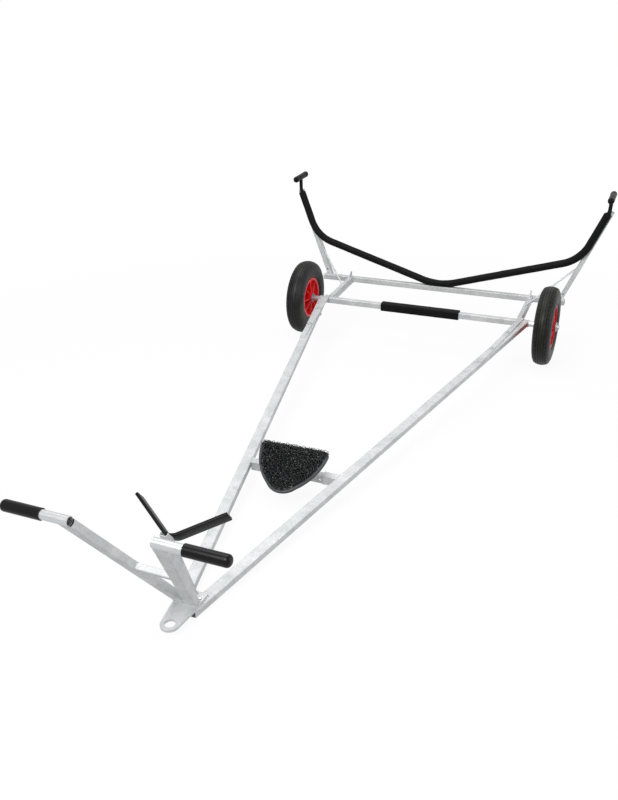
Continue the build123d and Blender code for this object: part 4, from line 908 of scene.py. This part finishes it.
# The backing fills the mat's outline below the loops
backing = free_copy(mat_node)
floor_of_mat = min((v.co - mat_centre).dot(mat_up) for v in backing.data.vertices)
for vertex in backing.data.vertices:
    height = (vertex.co - mat_centre).dot(mat_up) - floor_of_mat
    vertex.co -= mat_up * height * BACKING_SUNK
merge_points(backing)
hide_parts("keel_mat")
dress(backing, "keel_mat_backing", strand, "frame", smooth=30)

# Camera
# It stands in front and to the right of the hitch, about as high as a person's eyes, and looks
# down the trolley with a short normal lens.
FOCAL_PIXELS, PICTURE_LONG_SIDE, SENSOR = 851.0, 800, 36.0
CAMERA_X, CAMERA_AHEAD, CAMERA_HEIGHT = 1.1529, 4.2405, 1.6259
YAW, DOWN, ROLL = math.radians(23.0), math.radians(24.1), math.radians(-0.3)
camera_data = bpy.data.cameras.new("camera")
camera = bpy.data.objects.new("camera", camera_data)
bpy.context.collection.objects.link(camera)
bpy.context.scene.camera = camera
camera_data.sensor_width = SENSOR
camera_data.lens = FOCAL_PIXELS * SENSOR / PICTURE_LONG_SIDE
camera.location = (CAMERA_X, axle_centre.y - CAMERA_AHEAD, CAMERA_HEIGHT)
camera.rotation_euler = (
    Matrix.Rotation(YAW, 3, "Z")
    @ Matrix.Rotation(math.pi / 2 - DOWN, 3, "X")
    @ Matrix.Rotation(ROLL, 3, "Z")
).to_euler()

# Studio
# A white floor and surround with broad soft lamps in front, overhead and to the right. The
# camera sees the floor and the world near white, and the zinc mirrors part of that.
FLOOR_SIZE, FLOOR_DROP = 60.0, 0.0005
GLOW, GLOW_IN_GLOSS = 1.1, 0.5
NEAR, FAR, NEAR_SHARE = 2.5, 8.0, 0.84
WORLD_LIGHT, WORLD_IN_GLOSS = 0.42, 0.6
bpy.ops.mesh.primitive_plane_add(size=FLOOR_SIZE, location=(0, 0, -FLOOR_DROP))
floor = bpy.context.object
floor.name = "studio_floor"
white, tree, surface, place = new_material("white_studio_floor", "AEAEAE", roughness=0.9)
seen = add_node(tree, "LightPath")
glow = add_node(tree, "Emission", links={"Color": (1, 1, 1, 1), "Strength": GLOW})
mirrored = add_node(
    tree, "Math", {"operation": "MULTIPLY"}, {0: seen.outputs["Is Glossy Ray"], 1: GLOW_IN_GLOSS}
).outputs[0]
distance = add_node(tree, "VectorMath", {"operation": "LENGTH"}, {0: place}).outputs["Value"]
fade = add_node(
    tree,
    "MapRange",
    links={"Value": distance, "From Min": NEAR, "From Max": FAR, "To Min": NEAR_SHARE},
).outputs["Result"]
direct = add_node(
    tree,
    "Math",
    {"operation": "MULTIPLY_ADD"},
    {0: seen.outputs["Is Camera Ray"], 1: fade, 2: mirrored},
).outputs[0]
mixed = add_node(
    tree,
    "MixShader",
    links={0: direct, 1: surface.outputs["BSDF"], 2: glow.outputs["Emission"]},
)
tree.links.new(mixed.outputs["Shader"], tree.nodes["Material Output"].inputs["Surface"])
floor.data.materials.append(white)

world = bpy.data.worlds.new("studio")
bpy.context.scene.world = world
world.use_nodes = True
tree = world.node_tree
path = add_node(tree, "LightPath")
seen = add_node(
    tree,
    "Math",
    {"operation": "MULTIPLY_ADD"},
    {0: path.outputs["Is Glossy Ray"], 1: WORLD_IN_GLOSS, 2: path.outputs["Is Camera Ray"]},
).outputs[0]
strength = add_node(
    tree, "MapRange", links={"Value": seen, "To Min": WORLD_LIGHT, "To Max": 1.0}
).outputs["Result"]
background = tree.nodes["Background"]
background.inputs["Color"].default_value = (1, 1, 1, 1)
tree.links.new(strength, background.inputs["Strength"])

LAMP_TARGET = Vector((0, 0, 0.3))
for name, spot, size, watts in (
    ("key", (-0.4, -4.4, 4.3), 2.5, 180),
    ("over", (-0.8, 0.9, 5.0), 4.0, 95),
    ("fill", (4.4, 0.6, 1.8), 2.5, 45),
):
    lamp_data = bpy.data.lights.new(name, "AREA")
    lamp_data.size = size
    lamp_data.energy = watts
    lamp = bpy.data.objects.new(name, lamp_data)
    bpy.context.collection.objects.link(lamp)
    lamp.location = spot
    lamp.rotation_euler = (LAMP_TARGET - Vector(spot)).to_track_quat("-Z", "Y").to_euler()

bpy.context.scene.view_settings.view_transform = "Standard"
